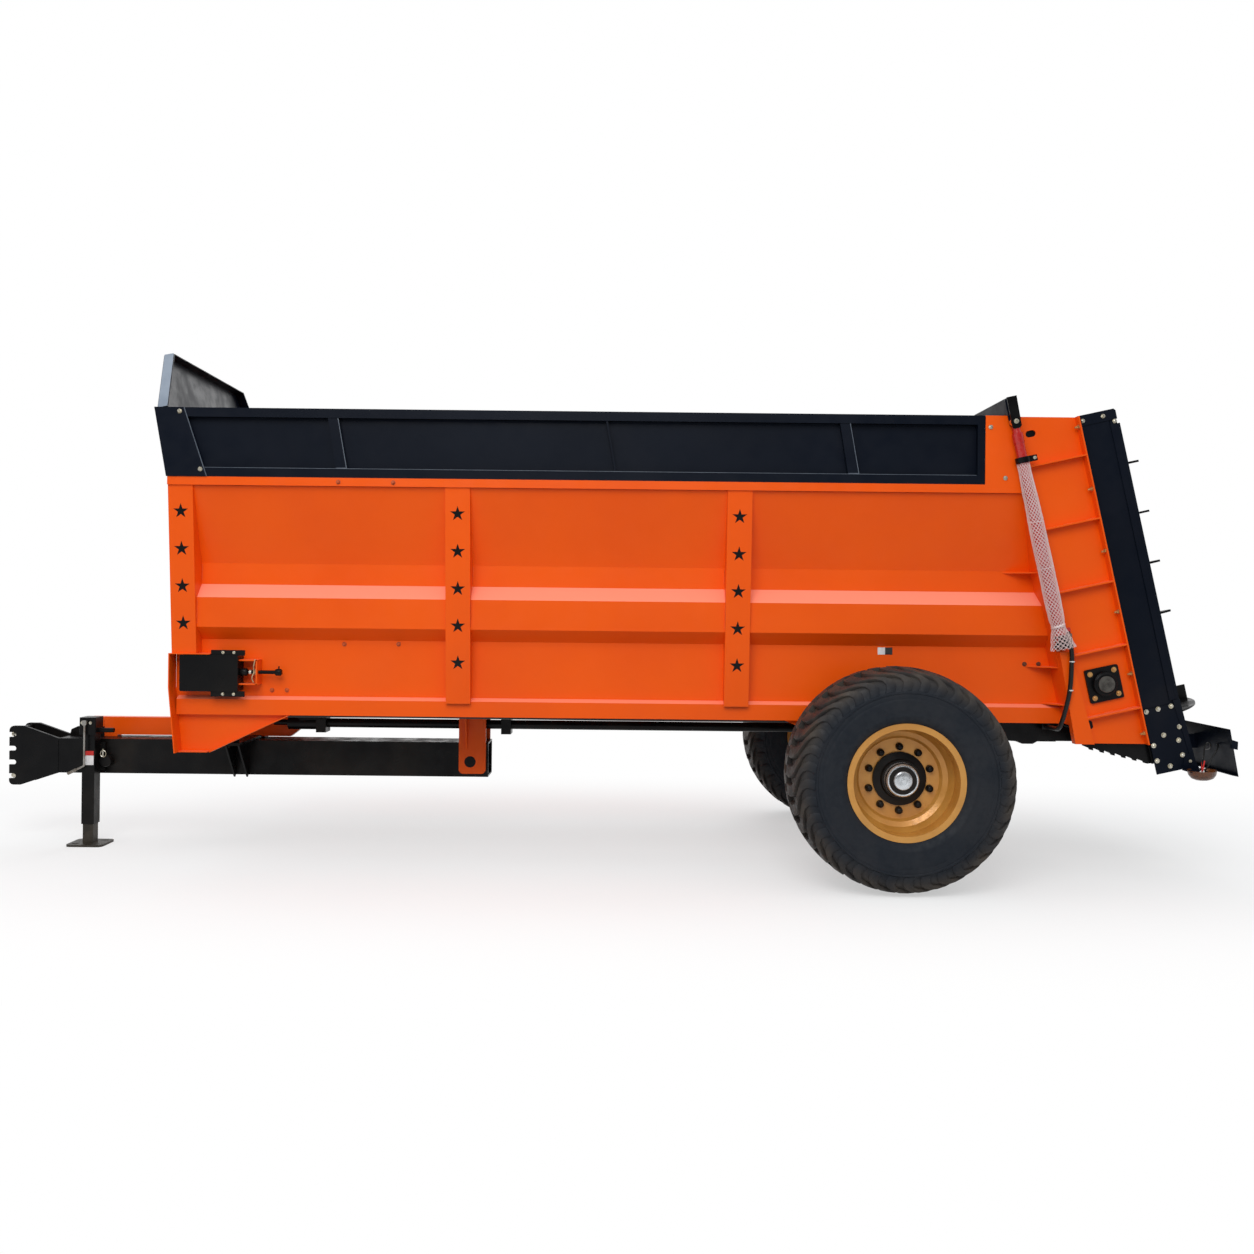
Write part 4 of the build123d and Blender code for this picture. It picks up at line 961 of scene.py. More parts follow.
def weld_tree() -> Grower:
    """Small flat ripples set close together along the seed's edges.

    Returns:
        The tree.
    """
    grower = Grower("weld_ripples")
    graph = grower.graph
    spacing = grower.size("Spacing", "Float", 0.0042)
    radius = grower.size("Ripple radius", "Float", 0.0031)
    scatter = grower.size("Scatter", "Float", 0.0006)
    seed = grower.size("Seed", "Int", 5)
    lines = graph.add("GeometryNodeMeshToCurve", {"Mesh": grower.given.outputs[0]})
    points = graph.add(
        "GeometryNodeResampleCurve", {"Curve": lines.outputs[0], "Length": spacing}, mode="LENGTH"
    )
    shift = graph.add("FunctionNodeRandomValue", {"Seed": seed}, data_type="FLOAT_VECTOR")
    shift.inputs[0].default_value = (-1.0, -1.0, -1.0)
    shift.inputs[1].default_value = (1.0, 1.0, 1.0)
    push = graph.add("ShaderNodeVectorMath", {0: shift.outputs[0], "Scale": scatter}, operation="SCALE")
    moved = graph.add("GeometryNodeSetPosition", {"Geometry": points.outputs[0], "Offset": push.outputs[0]})
    ripple = graph.add("GeometryNodeMeshIcoSphere", {"Radius": radius, "Subdivisions": 1})
    tangent = graph.add("GeometryNodeInputTangent").outputs[0]
    turned = graph.add("FunctionNodeAlignRotationToVector", {"Vector": tangent}, axis="Z")
    placed = graph.add(
        "GeometryNodeInstanceOnPoints",
        {
            "Points": moved.outputs[0],
            "Instance": ripple.outputs["Mesh"],
            "Rotation": turned.outputs[0],
            "Scale": (1.0, 1.0, 0.72),
        },
    )
    grower.finish(placed.outputs[0])
    return grower


class Workshop:
    """The trees, built once and shared by every sub-assembly."""

    def __init__(self) -> None:
        """Build the trees."""
        self.bolts = bolt_tree()
        self.ring = ring_tree()
        self.strands = strand_tree()
        self.welds = weld_tree()

    def bolt_row(
        self,
        name: str,
        places: Sequence[tuple[Sequence[float], Sequence[float]]],
        body: str = Body.CHASSIS.value,
        finish: Finish = ZINC,
        across: float = 0.024,
        reach: float = 0.006,
    ) -> bpy.types.Object:
        """Set bolts at these places.

        Args:
            name: The piece's name.
            places: (point, direction the head faces) for each bolt.
            body: The body they are screwed to.
            finish: Their finish.
            across: Width across the flats.
            reach: How far the thread's end stands out of the nut.

        Returns:
            The piece that holds them all.
        """
        sizes = {
            "Across flats": across,
            "Head height": across * 0.5,
            "Washer radius": across * 0.82,
            "Washer thickness": across * 0.12,
            "Shank radius": across * 0.33,
            "Shank reach": reach,
            "Seed": len(name),
        }
        mesh = self.bolts.grow(seed_points(places), finish, sizes)
        return keep_piece(name, mesh, finish, body, 30.0)


# ---------------------------------------------------------------- wheels
@dataclass
class WheelDress:
    """Tyre with its carcass rings and lugs, wheel nuts and cap bolt of one wheel."""

    side: Side
    workshop: Workshop
    crown: float = 0.586
    lug_depth: float = 0.026
    pitches: int = 36
    sweep: float = math.radians(15.0)
    nut_circle: float = 0.1675
    nuts: int = 10
    disc_face: float = 0.045
    cap_face: float = 0.135
    tread: Sequence[tuple[float, float]] = (
        (0.004, 0.5858), (0.06, 0.5843), (0.12, 0.5790), (0.17, 0.5722), (0.200, 0.5660), (0.218, 0.5560),
        (0.229, 0.5400), (0.236, 0.5180), (0.240, 0.4950), (0.2445, 0.4740),
    )

    @property
    def body(self) -> str:
        """The wheel's body."""
        return f"wheel_{self.side.tag}"

    def spot(self, out: float) -> Vector:
        """Point on the wheel's axis this far outboard of the tyre's middle."""
        return Vector((AXLE_X, self.side.value * (WHEEL_Y + out), AXLE_Z))

    def build(self) -> None:
        """Make and dress every piece of this wheel."""
        carcass = self.carcass()
        lugs = self.lugs()
        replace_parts(carcass, f"tyre_{self.side.tag}")
        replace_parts(lugs, f"tyre_{self.side.tag}")
        self.wheel_nuts()
        self.cap_bolt()

    def carcass(self) -> bpy.types.Object:
        """Turn the tyre's body with its beads, wall rings and shoulder ring.

        Returns:
            The piece.
        """
        half = [
            (0.2, 0.290), (0.203, 0.300), (0.2225, 0.3105), (0.2345, 0.326), (0.2410, 0.342), (0.2437, 0.349),
            (0.2432, 0.352), (0.2475, 0.372), (0.2505, 0.398), (0.2514, 0.420), (0.2512, 0.430),
            (0.2500, 0.4325), (0.2500, 0.4365), (0.2508, 0.439), (0.2492, 0.452), (0.2478, 0.4585),
            (0.2510, 0.4610), (0.2512, 0.4680), (0.2470, 0.4705), (0.2400, 0.4755), (0.2340, 0.495),
            (0.2280, 0.518), (0.2150, 0.537), (0.1950, 0.547), (0.150, 0.5535), (0.090, 0.558),
            (0.030, 0.5598),
        ]
        profile = [(r, w) for w, r in half] + [(r, -w) for w, r in reversed(half)]
        shape = Sketch()
        shape.lathe(profile + [profile[0]], towards(self.spot(0), (0, self.side.value, 0)), 144)
        return shape.keep(f"tyre_carcass_{self.side.tag}", RUBBER, self.body, 50.0, merge=True)

    def lug_angle(self, share: float) -> float:
        """Angle by which the lug leads at this share of the way from crown to shoulder."""
        ease = 0.5 + 0.5 * math.cos(math.pi * min(share * 1.18, 1.0))
        return self.sweep * ease + math.radians(1.6) * math.sin(math.tau * share)

    def lug(self, half: int) -> bmesh.types.BMesh:
        """Shape one lug on one half of the tread, round the wheel's axis at the origin.

        Args:
            half: 1 for the outer half of the tread and -1 for the inner.

        Returns:
            The lug's mesh.
        """
        part = bmesh.new()
        rows: list[list[bmesh.types.BMVert]] = []
        stops = len(self.tread)
        for k, (w, r) in enumerate(self.tread):
            share = k / (stops - 1)
            before = self.tread[max(k - 1, 0)]
            after = self.tread[min(k + 1, stops - 1)]
            along = Vector((after[0] - before[0], after[1] - before[1])).normalized()
            inward = Vector((along.y, -along.x))
            if inward.y > 0 and k < stops - 2:
                inward = -inward
            deep = self.lug_depth * (1.0 if share < 0.75 else 1.0 - 0.8 * (share - 0.75) / 0.25)
            top = 0.060 - 0.010 * math.sin(math.pi * share)
            foot = top + 0.014
            centre = self.lug_angle(share)
            row: list[bmesh.types.BMVert] = []
            for width, sink in (
                (-foot, deep),
                (-top, 0.0025),
                (-top * 0.86, 0.0),
                (top * 0.86, 0.0),
                (top, 0.0025),
                (foot, deep),
            ):
                at_w = w + inward.x * sink
                at_r = r + inward.y * sink
                angle = centre + width / 2 / 0.57
                out = half * self.side.value * at_w
                row.append(part.verts.new((at_r * math.sin(angle), out, at_r * math.cos(angle))))
            rows.append(row)
        for low, high in zip(rows, rows[1:]):
            for a in range(len(low) - 1):
                part.faces.new((low[a], low[a + 1], high[a + 1], high[a]))
            part.faces.new((low[-1], low[0], high[0], high[-1]))
        part.faces.new(rows[0])
        part.faces.new(list(reversed(rows[-1])))
        bmesh.ops.recalc_face_normals(part, faces=part.faces)
        return part

    def lugs(self) -> bpy.types.Object:
        """Repeat the two half lugs round the tyre, half a pitch apart.

        Returns:
            The piece.
        """
        shape = bmesh.new()
        for half in (1, -1):
            part = self.lug(half)
            if half < 0:
                turn = Matrix.Rotation(math.pi / self.pitches, 4, "Y")
                bmesh.ops.transform(part, matrix=turn, verts=part.verts)
            held = bpy.data.meshes.new("lug")
            part.to_mesh(held)
            part.free()
            shape.from_mesh(held)
            bpy.data.meshes.remove(held)
        mesh = bpy.data.meshes.new("lug_pair")
        shape.to_mesh(mesh)
        shape.free()
        seed = bpy.data.objects.new("lug_pair", mesh)
        sizes = {"Count": self.pitches, "Start angle": 0.03, "Centre": tuple(self.spot(0))}
        grown = self.workshop.ring.grow(seed, RUBBER, sizes)
        return keep_piece(f"tyre_lugs_{self.side.tag}", grown, RUBBER, self.body, 40.0)

    def wheel_nuts(self) -> None:
        """Set the domed black nuts on the wheel's disc."""
        shape = Sketch()
        profile = (
            (0.0, 0.033), (0.011, 0.031), (0.016, 0.026), (0.0185, 0.018), (0.0195, 0.006), (0.0205, 0.0),
            (0.0, 0.0),
        )
        seat = Vector((0, self.side.value * self.disc_face, self.nut_circle))
        shape.lathe(profile, towards(seat, (0, self.side.value, 0)), 18)
        mesh = bpy.data.meshes.new("nut")
        shape.bm.to_mesh(mesh)
        shape.bm.free()
        seed = bpy.data.objects.new("nut", mesh)
        grown = self.workshop.ring.grow(
            seed, BLACK, {"Count": self.nuts, "Start angle": 0.0, "Centre": tuple(self.spot(0))}
        )
        keep_piece(f"wheel_nuts_{self.side.tag}", grown, BLACK, self.body, 50.0)

    def cap_bolt(self) -> None:
        """Make the bright hub cap with its raised rings and centre screw."""
        shape = Sketch()
        face = self.cap_face
        profile = (
            (0.0, face - 0.058),
            (0.0905, face - 0.058),
            (0.0912, face - 0.020),
            (0.0890, face - 0.012),
            (0.0790, face + 0.0005),
            (0.0740, face + 0.0015),
            (0.0700, face - 0.002),
            (0.0500, face - 0.002),
            (0.0480, face + 0.006),
            (0.0440, face + 0.009),
            (0.0200, face + 0.009),
            (0.0190, face + 0.006),
            (0.0125, face + 0.006),
            (0.0120, face + 0.013),
            (0.0, face + 0.014),
        )
        shape.lathe(profile, towards(self.spot(0), (0, self.side.value, 0)), 72)
        shape.keep(f"hub_cap_{self.side.tag}", CAP, self.body, 40.0, merge=True)


# ---------------------------------------------------------------- seats on the frame
class Shell:
    """The still outer faces of the frame, on which fine pieces are seated."""

    def __init__(self) -> None:
        """Join the faces of every node but the wheels' into one search tree."""
        corners: list[Vector] = []
        faces: list[tuple[int, ...]] = []
        for name, node in frame["nodes"].items():
            if name.startswith(("tyre", "rim", "hub", "net")):
                continue
            first = len(corners)
            corners.extend(v.co.copy() for v in node.data.vertices)
            faces.extend(tuple(first + k for k in face.vertices) for face in node.data.polygons)
        self.tree = BVHTree.FromPolygons(corners, faces)

    def seat(self, ahead: float, z: float, side: Side, lift: float = 0.0) -> tuple[Vector, Vector]:
        """Find the outer face at this place of one long side.

        Args:
            ahead: Station of the place, in front of the axle.
            z: Its height.
            side: The side it is on.
            lift: How far to stand off the face.

        Returns:
            The point on the face and the direction that the face looks.
        """
        start = Vector((station(ahead), 1.4 * side.value, z))
        hit, normal, _, _ = self.tree.ray_cast(start, Vector((0, -side.value, 0)))
        if hit is None:
            raise ValueError(f"no face at {ahead}, {z}")
        if normal.y * side.value < 0:
            normal = -normal
        return hit + normal * lift, normal

    def seats(self, places: Sequence[tuple[float, float]], side: Side) -> list[tuple[Vector, Vector]]:
        """Find the outer faces at several places."""
        return [self.seat(ahead, z, side) for ahead, z in places]


# ---------------------------------------------------------------- long sides
@dataclass
class SideFasteners:
    """Bolts of one long side, its bearing cap and its chute's folded top."""

    side: Side
    workshop: Workshop
    shell: Shell
    flange_steps: Sequence[float] = (1.582, 1.238, 0.893, 0.556, 0.212, -0.120)
    # behind and up the end plane's lean
    chute: Sequence[tuple[float, float]] = (
        (0.413, -0.013), (0.479, -0.011), (0.551, -0.010), (0.573, -0.129), (0.479, -0.156), (0.553, -0.200),
        (0.414, -0.201), (0.557, -0.283), (0.415, -0.286), (0.479, -0.328), (0.588, -0.324),
    )
    chute_y: float = 0.844
    folds: Sequence[tuple[Sequence[tuple[float, float]], float, float]] = (
        (((0.384, 1.585), (0.5955, 1.585), (0.5960, 1.632), (0.5860, 1.643), (0.384, 1.643)), 0.8362, 0.8405),
        (((0.566, 0.020), (0.6045, 0.020), (0.6190, -0.354), (0.5990, -0.354)), 0.8441, 0.8480),
        (((0.586, -0.020), (0.604, 0.020), (0.604, 1.560), (0.586, 1.560)), 0.8300, 0.8425),
    )
    gussets: Sequence[tuple[float, float]] = (
        (3.873, 2.508), (3.759, 2.194), (-0.529, 2.467), (-0.611, 2.191)
    )
    body: Sequence[tuple[float, float]] = ((3.41, 0.985), (3.327, 0.986), (3.009, 1.246), (2.707, 1.249))
    body_rear: Sequence[tuple[float, float]] = ((-0.786, 1.174), (-0.864, 1.175))
    rail: Sequence[tuple[float, float]] = ((3.01, 2.132), (2.712, 2.132))
    guard: Sequence[tuple[float, float]] = (
        (3.654, 1.1965), (3.594, 1.1965), (3.654, 0.9675), (3.594, 0.9675)
    )
    bearing_at: tuple[float, float] = (-1.168, 1.078)
    bearing_pitch: float = 0.066

    def build(self) -> None:
        """Set every bolt of this side."""
        tag = self.side.tag
        rows = self.workshop.bolt_row
        chute = [
            (lean_point(a, b, self.chute_y * self.side.value), (0, self.side.value, 0)) for a, b in self.chute
        ]
        rows(f"chute_bolts_{tag}", chute, across=0.0165, reach=0.002)
        rows(f"gusset_bolts_{tag}", self.shell.seats(self.gussets, self.side), across=0.015, reach=0.002)
        rows(f"guard_bolts_{tag}", self.shell.seats(self.guard, self.side), across=0.0105, reach=0.002)
        painted = [*self.body, *self.rail]
        rows(
            f"side_bolts_{tag}",
            self.shell.seats(painted, self.side),
            finish=RUST_ORANGE,
            across=0.0155,
            reach=0.005,
        )
        rows(
            f"sill_bolts_{tag}",
            self.shell.seats(self.body_rear, self.side),
            finish=RUST,
            across=0.0155,
            reach=0.003,
        )
        out = self.side.value
        flange = [(lean_point(0.370, up, 0.864 * out), -LEAN_BACK) for up in self.flange_steps]
        rows(f"flange_bolts_{tag}", flange, finish=BRASS, across=0.0175, reach=0.012)
        self.bearing()
        self.folded_top()

    def folded_top(self) -> None:
        """Fold the chute's top over the beam and bolt it down."""
        tag, out = self.side.tag, self.side.value
        fold = Sketch()
        for outline, low, high in self.folds:
            fold.lean_slab(outline, low * out, high * out)
        fold.keep(f"shield_folds_{tag}", BOARD, Body.CHASSIS.value)
        seats = [(lean_point(a, b, 0.8406 * out), (0, out, 0)) for a, b in ((0.408, 1.611), (0.522, 1.614))]
        seats.append((lean_point(0.578, 1.574, 0.8426 * out), (0, out, 0)))
        self.workshop.bolt_row(f"shield_bolts_{tag}", seats, across=0.0150, reach=0.002)

    def bearing(self) -> None:
        """Bolt down the chain shaft's bearing and close it with a stepped cap."""
        tag, out = self.side.tag, self.side.value
        middle = Vector((station(self.bearing_at[0]), 0.852 * out, self.bearing_at[1]))
        both = (-self.bearing_pitch, self.bearing_pitch)
        corners = [(a, b) for a in both for b in both]
        seats = [(middle + LEAN_BACK * a + LEAN_UP * b, (0, out, 0)) for a, b in corners]
        self.workshop.bolt_row(f"bearing_bolts_{tag}", seats, finish=BRASS, across=0.0175, reach=0.003)
        axis = towards(middle, (0, out, 0))
        ring = Sketch()
        profile = (
            (0.0460, 0.0262), (0.0460, 0.0275), (0.0480, 0.0300), (0.0560, 0.0300), (0.0585, 0.0275),
            (0.0655, 0.0235), (0.0660, 0.0005), (0.0638, 0.0005), (0.0638, 0.0262), (0.0460, 0.0262),
        )
        ring.lathe(profile, axis, 48)
        ring.keep(f"bearing_ring_{tag}", BLACK, Body.CHASSIS.value, 40.0, merge=True)
        cap = Sketch()
        profile = (
            (0.0, 0.0270), (0.0445, 0.0270), (0.0450, 0.0330), (0.0430, 0.0355), (0.0300, 0.0355),
            (0.0285, 0.0345), (0.0200, 0.0345), (0.0185, 0.0365), (0.0070, 0.0365), (0.0060, 0.0340),
            (0.0, 0.0340),
        )
        cap.lathe(profile, axis, 48)
        cap.keep(f"bearing_cap_{tag}", CAP_DULL, Body.CHASSIS.value, 40.0, merge=True)


@dataclass
class StarLiners:
    """Black stars laid over the pierced holes of one side's posts: painted shade for the dark inside of the
    holes.
    """

    side: Side
    posts: Sequence[tuple[float, int]] = ((3.8725, 4), (2.364, 5), (0.826, 5))
    first: float = 1.968
    pitch: float = 0.204
    radius: float = 0.0425
    low_face: tuple[float, float] = (0.760, 0.925)
    high_face: tuple[float, float] = (0.860, 2.110)

    def build(self) -> None:
        """Set one star in each hole, level with the post's face."""
        out = self.side.value
        slope = (self.high_face[0] - self.low_face[0]) / (self.high_face[1] - self.low_face[1])
        up = Vector((0, slope * out, 1)).normalized()
        face = Vector((0, out, -slope)).normalized()
        reaches = (self.radius, self.radius * 0.382)
        turns = [math.pi / 2 + math.pi * k / 5 for k in range(10)]
        star = [(reaches[k % 2] * math.cos(a), reaches[k % 2] * math.sin(a)) for k, a in enumerate(turns)]
        # each star is a black plate of painted shade, a little larger than its hole
        shape = Sketch()
        for ahead, count in self.posts:
            for k in range(count):
                z = self.first - k * self.pitch
                y = self.low_face[0] + (z - self.low_face[1]) * slope
                place = Vector((station(ahead), y * out, z)) - face * 0.0006
                shape.plate(star, 0.0011, towards(place, face, up), 0.0)
        shape.keep(f"stars_{self.side.tag}", BLACK, Body.CHASSIS.value)


@dataclass
class NetSleeve:
    """Packing net that is pulled over one lift cylinder and tied at its foot."""

    side: Side
    workshop: Workshop
    around: int = 14
    cell: float = 0.0120
    low: float = 0.425
    high: float = 1.452
    # up the lean and radius of the sleeve, from its loose skirt to its ragged top
    shape: Sequence[tuple[float, float]] = (
        (0.425, 0.068), (0.465, 0.056), (0.505, 0.046), (0.540, 0.0355), (0.560, 0.0345), (0.590, 0.0400),
        (0.700, 0.0430), (0.900, 0.0425), (1.100, 0.0415), (1.250, 0.0370), (1.400, 0.0325), (1.452, 0.0330),
    )

    def radius(self, up: float) -> float:
        """Radius of the sleeve at this height."""
        for (low, first), (high, second) in zip(self.shape, self.shape[1:]):
            if up <= high:
                share = max((up - low) / (high - low), 0.0)
                ease = share * share * (3 - 2 * share)
                return first + (second - first) * ease
        return self.shape[-1][1]

    def spot(self, up: float, angle: float, layer: int) -> Vector:
        """Point of the net at this height and angle, with its creases.

        Args:
            up: Height up the lean.
            angle: Angle round the sleeve.
            layer: Which layer.

        Returns:
            The point.
        """
        out = self.side.value
        turned = Vector((math.cos(angle), math.sin(angle), 0))
        crease = noise.noise(Vector((turned.x * 1.3, turned.y * 1.3, up * 7.0 + layer * 5.0)))
        twist = math.sin(angle * 3 + up * 16.0 + layer)
        loose = min(max((self.radius(up) - 0.030) / 0.03, 0.0), 1.4)
        reach = self.radius(up) * (1 + 0.10 * crease * loose + 0.05 * twist * loose) - 0.0022 * layer
        middle = lean_point(0.018, up, 0.905 * out)
        return middle + LEAN_BACK * (reach * turned.x) + Vector((0, out * min(reach, 0.060) * turned.y, 0))

    def layer(self, number: int) -> bpy.types.Mesh:
        """Knot one layer of diamond net and turn its cords into round strands.

        Args:
            number: Which layer.

        Returns:
            Its mesh.
        """
        rows = round((self.high - self.low) / self.cell)
        half = math.pi / self.around
        corners: list[Vector] = []
        edges: list[tuple[int, int]] = []
        for row in range(rows + 1):
            ragged = 0.012 * noise.noise(Vector((row * 0.1, number, 3.0))) if row in (0, rows) else 0.0
            up = self.low + (self.high - self.low) * row / rows + ragged
            for k in range(self.around):
                angle = (2 * k + row % 2 + 0.5 * number) * half
                corners.append(self.spot(up, angle, number))
        for row in range(rows):
            for k in range(self.around):
                here = row * self.around + k
                above = (row + 1) * self.around
                other = (k + 1) % self.around if row % 2 else (k - 1) % self.around
                edges += [(here, above + k), (here, above + other)]
        mesh = bpy.data.meshes.new("net")
        mesh.from_pydata(corners, edges, [])
        seed = bpy.data.objects.new("net", mesh)
        sizes = {
            "Strand radius": 0.00105 - 0.0002 * number,
            "Sway": 0.0060,
            "Seed": float(number + self.side.value),
        }
        return self.workshop.strands.grow(seed, NET, sizes)

    def build(self) -> None:
        """Make the layers, the tie round its waist and the hem's folds."""
        tag = self.side.tag
        for number in range(2):
            piece = keep_piece(f"net_layer_{number}_{tag}", self.layer(number), NET, Body.CHASSIS.value, 60.0)
            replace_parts(piece, "net_sleeves")
        ties = Sketch()
        for level, (up, lift) in enumerate(
            ((0.544, 0.0015), (0.551, 0.0025), (0.558, 0.0012), (0.875, 0.001), (1.128, 0.001))
        ):
            turns = [math.tau * k / 22 for k in range(23)]
            loop = []
            for angle in turns:
                at = self.spot(up + 0.004 * math.sin(angle + level), angle, 0)
                middle = lean_point(0.018, up, 0.905 * self.side.value)
                loop.append(at + (at - middle).normalized() * lift)
            ties.tube(loop, 0.0022 if level < 3 else 0.0016, 8, 3)
        band = ties.keep(f"net_ties_{tag}", NET, Body.CHASSIS.value, 60.0)
        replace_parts(band, "net_sleeves")


@dataclass
class HoseTies:
    """White cable ties round one gate hose and the crimped fitting at its head."""

    side: Side
    ties: Sequence[tuple[float, float, float]] = ((-0.9693, 1.200, 0.0), (-0.9630, 1.045, -0.03))

    def build(self) -> None:
        """Close each tie and crimp the fitting."""
        out = self.side.value
        shape = Sketch()
        for ahead, z, tilt in self.ties:
            middle = Vector((station(ahead), 0.905 * out, z))
            place = towards(middle, (tilt, 0, 1), (0, 1, 0))
            profile = (
                (0.0124, -0.0028), (0.0142, -0.0028), (0.0142, 0.0028), (0.0124, 0.0028), (0.0124, -0.0028)
            )
            shape.lathe(profile, place, 24)
            shape.block((0.007, 0.006, 0.0075), place @ Matrix.Translation((0.005, 0.0158 * out, 0)), 0.0012)
        shape.keep(f"hose_ties_{self.side.tag}", TIE, Body.CHASSIS.value, 35.0, merge=True)
        crimp = Sketch()
        foot = lean_point(0.064, 0.438, 0.905 * out)
        profile = (
            (0.0123, 0.0), (0.0145, 0.001), (0.0150, 0.006), (0.0143, 0.010), (0.0150, 0.014),
            (0.0143, 0.020), (0.0150, 0.026), (0.0150, 0.046), (0.0175, 0.047), (0.0175, 0.060),
            (0.0123, 0.061), (0.0123, 0.0),
        )
        crimp.lathe(profile, towards(foot, LEAN_UP), 24)
        crimp.keep(f"hose_crimp_{self.side.tag}", STEEL, Body.CHASSIS.value, 35.0, merge=True)


@dataclass
class Tensioner:
    """Open bracket, threaded rod, nuts, end knob and tie cord of one chain tensioner."""

    side: Side
    y: float = 0.752
    z: float = 1.088
    rod_foot: float = 3.350
    pitch: float = 0.004
    knob: Sequence[tuple[float, float]] = (
        (0.0, -0.008), (0.0150, -0.0075), (0.0190, -0.002), (0.0195, 0.020), (0.0165, 0.026), (0.0, 0.026),
    )
    nut: Sequence[tuple[float, float]] = (
        (0.0, 0.178), (0.0170, 0.180), (0.0220, 0.188), (0.0225, 0.206), (0.0200, 0.216), (0.0, 0.216),
    )
    handle: float = 3.358
    cord_at: float = 3.4880
    cord_radius: float = 0.0029
    tails: Sequence[Sequence[Point]] = (
        ((0.0, 0.014, 0.0), (0.004, 0.026, 0.022), (-0.004, 0.036, 0.048), (-0.008, 0.034, 0.072)),
        ((0.002, 0.014, 0.0), (0.008, 0.027, -0.018), (0.012, 0.025, -0.040), (0.002, 0.022, -0.056)),
    )

    def build(self) -> None:
        """Weld the bracket, cut the thread, run up the nuts and wind the cord."""
        out, tag = self.side.value, self.side.tag
        bracket = Sketch()
        for z in (1.154, 1.022):
            bracket.block((0.104, 0.080, 0.008), Matrix.Translation((station(3.520), 0.740 * out, z)), 0.001)
        bracket.block((0.008, 0.080, 0.140), Matrix.Translation((station(3.474), 0.740 * out, self.z)), 0.001)
        self.hold(bracket, "bracket", ORANGE, 35.0)
        place = towards((station(self.rod_foot), self.y * out, self.z), (1, 0, 0))
        turns = round(0.110 / self.pitch)
        profile = [(0.0, 0.0), (0.0095, 0.0)]
        for k in range(turns):
            at = self.pitch * k
            profile += [(0.0108, at + 0.0012), (0.0108, at + 0.0020), (0.0094, at + 0.0034)]
        profile += [(0.0095, 0.320), (0.0, 0.320)]
        rod = Sketch()
        rod.lathe(profile, place, 20)
        rod.lathe(self.knob, place, 28)
        ends = [(station(self.handle), self.y * out, self.z + rise) for rise in (0.015, 0.034)]
        rod.tube(ends, 0.004, 10)
        rod.lathe(self.nut, place, 28)
        rod.block((0.104, 0.065, 0.120), Matrix.Translation((station(3.730), 0.7375 * out, 1.078)), 0.006)
        self.hold(rod, "rod", BLACK, 40.0)
        bright = Sketch()
        corner = 0.026 / math.sqrt(3)
        ring = [(corner * math.cos(a), corner * math.sin(a)) for a in (math.tau * k / 6 for k in range(6))]
        bright.plate(ring, 0.014, place @ Matrix.Translation((0, 0, 0.157)), 0.0012)
        self.hold(bright, "nut", ZINC, 30.0)
        cord = Sketch()
        middle = Vector((station(self.cord_at), self.y * out, self.z))
        for lead, rise in ((0.0, 0.0), (0.005, 0.4), (0.010, 0.9)):
            loop = []
            for k in range(19):
                angle = math.tau * k / 18 + rise
                along = lead - 0.006 + 0.0015 * math.sin(2 * angle)
                loop.append(middle + Vector((along, 0.0140 * math.cos(angle), 0.0140 * math.sin(angle))))
            cord.tube(loop, self.cord_radius, 8, 3)
        for tail in self.tails:
            cord.tube([middle + Vector((x, y * out, z)) for x, y, z in tail], self.cord_radius, 8, 4)
        cord.keep(f"tensioner_cord_{tag}", CORD_TIE, Body.CHASSIS.value, 60.0)

    def hold(self, shape: Sketch, word: str, finish: Finish, smooth: float) -> None:
        """Keep one piece in place of the plain tensioner."""
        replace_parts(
            shape.keep(f"tensioner_{word}_{self.side.tag}", finish, Body.CHASSIS.value, smooth),
            "tensioner_screws",
        )


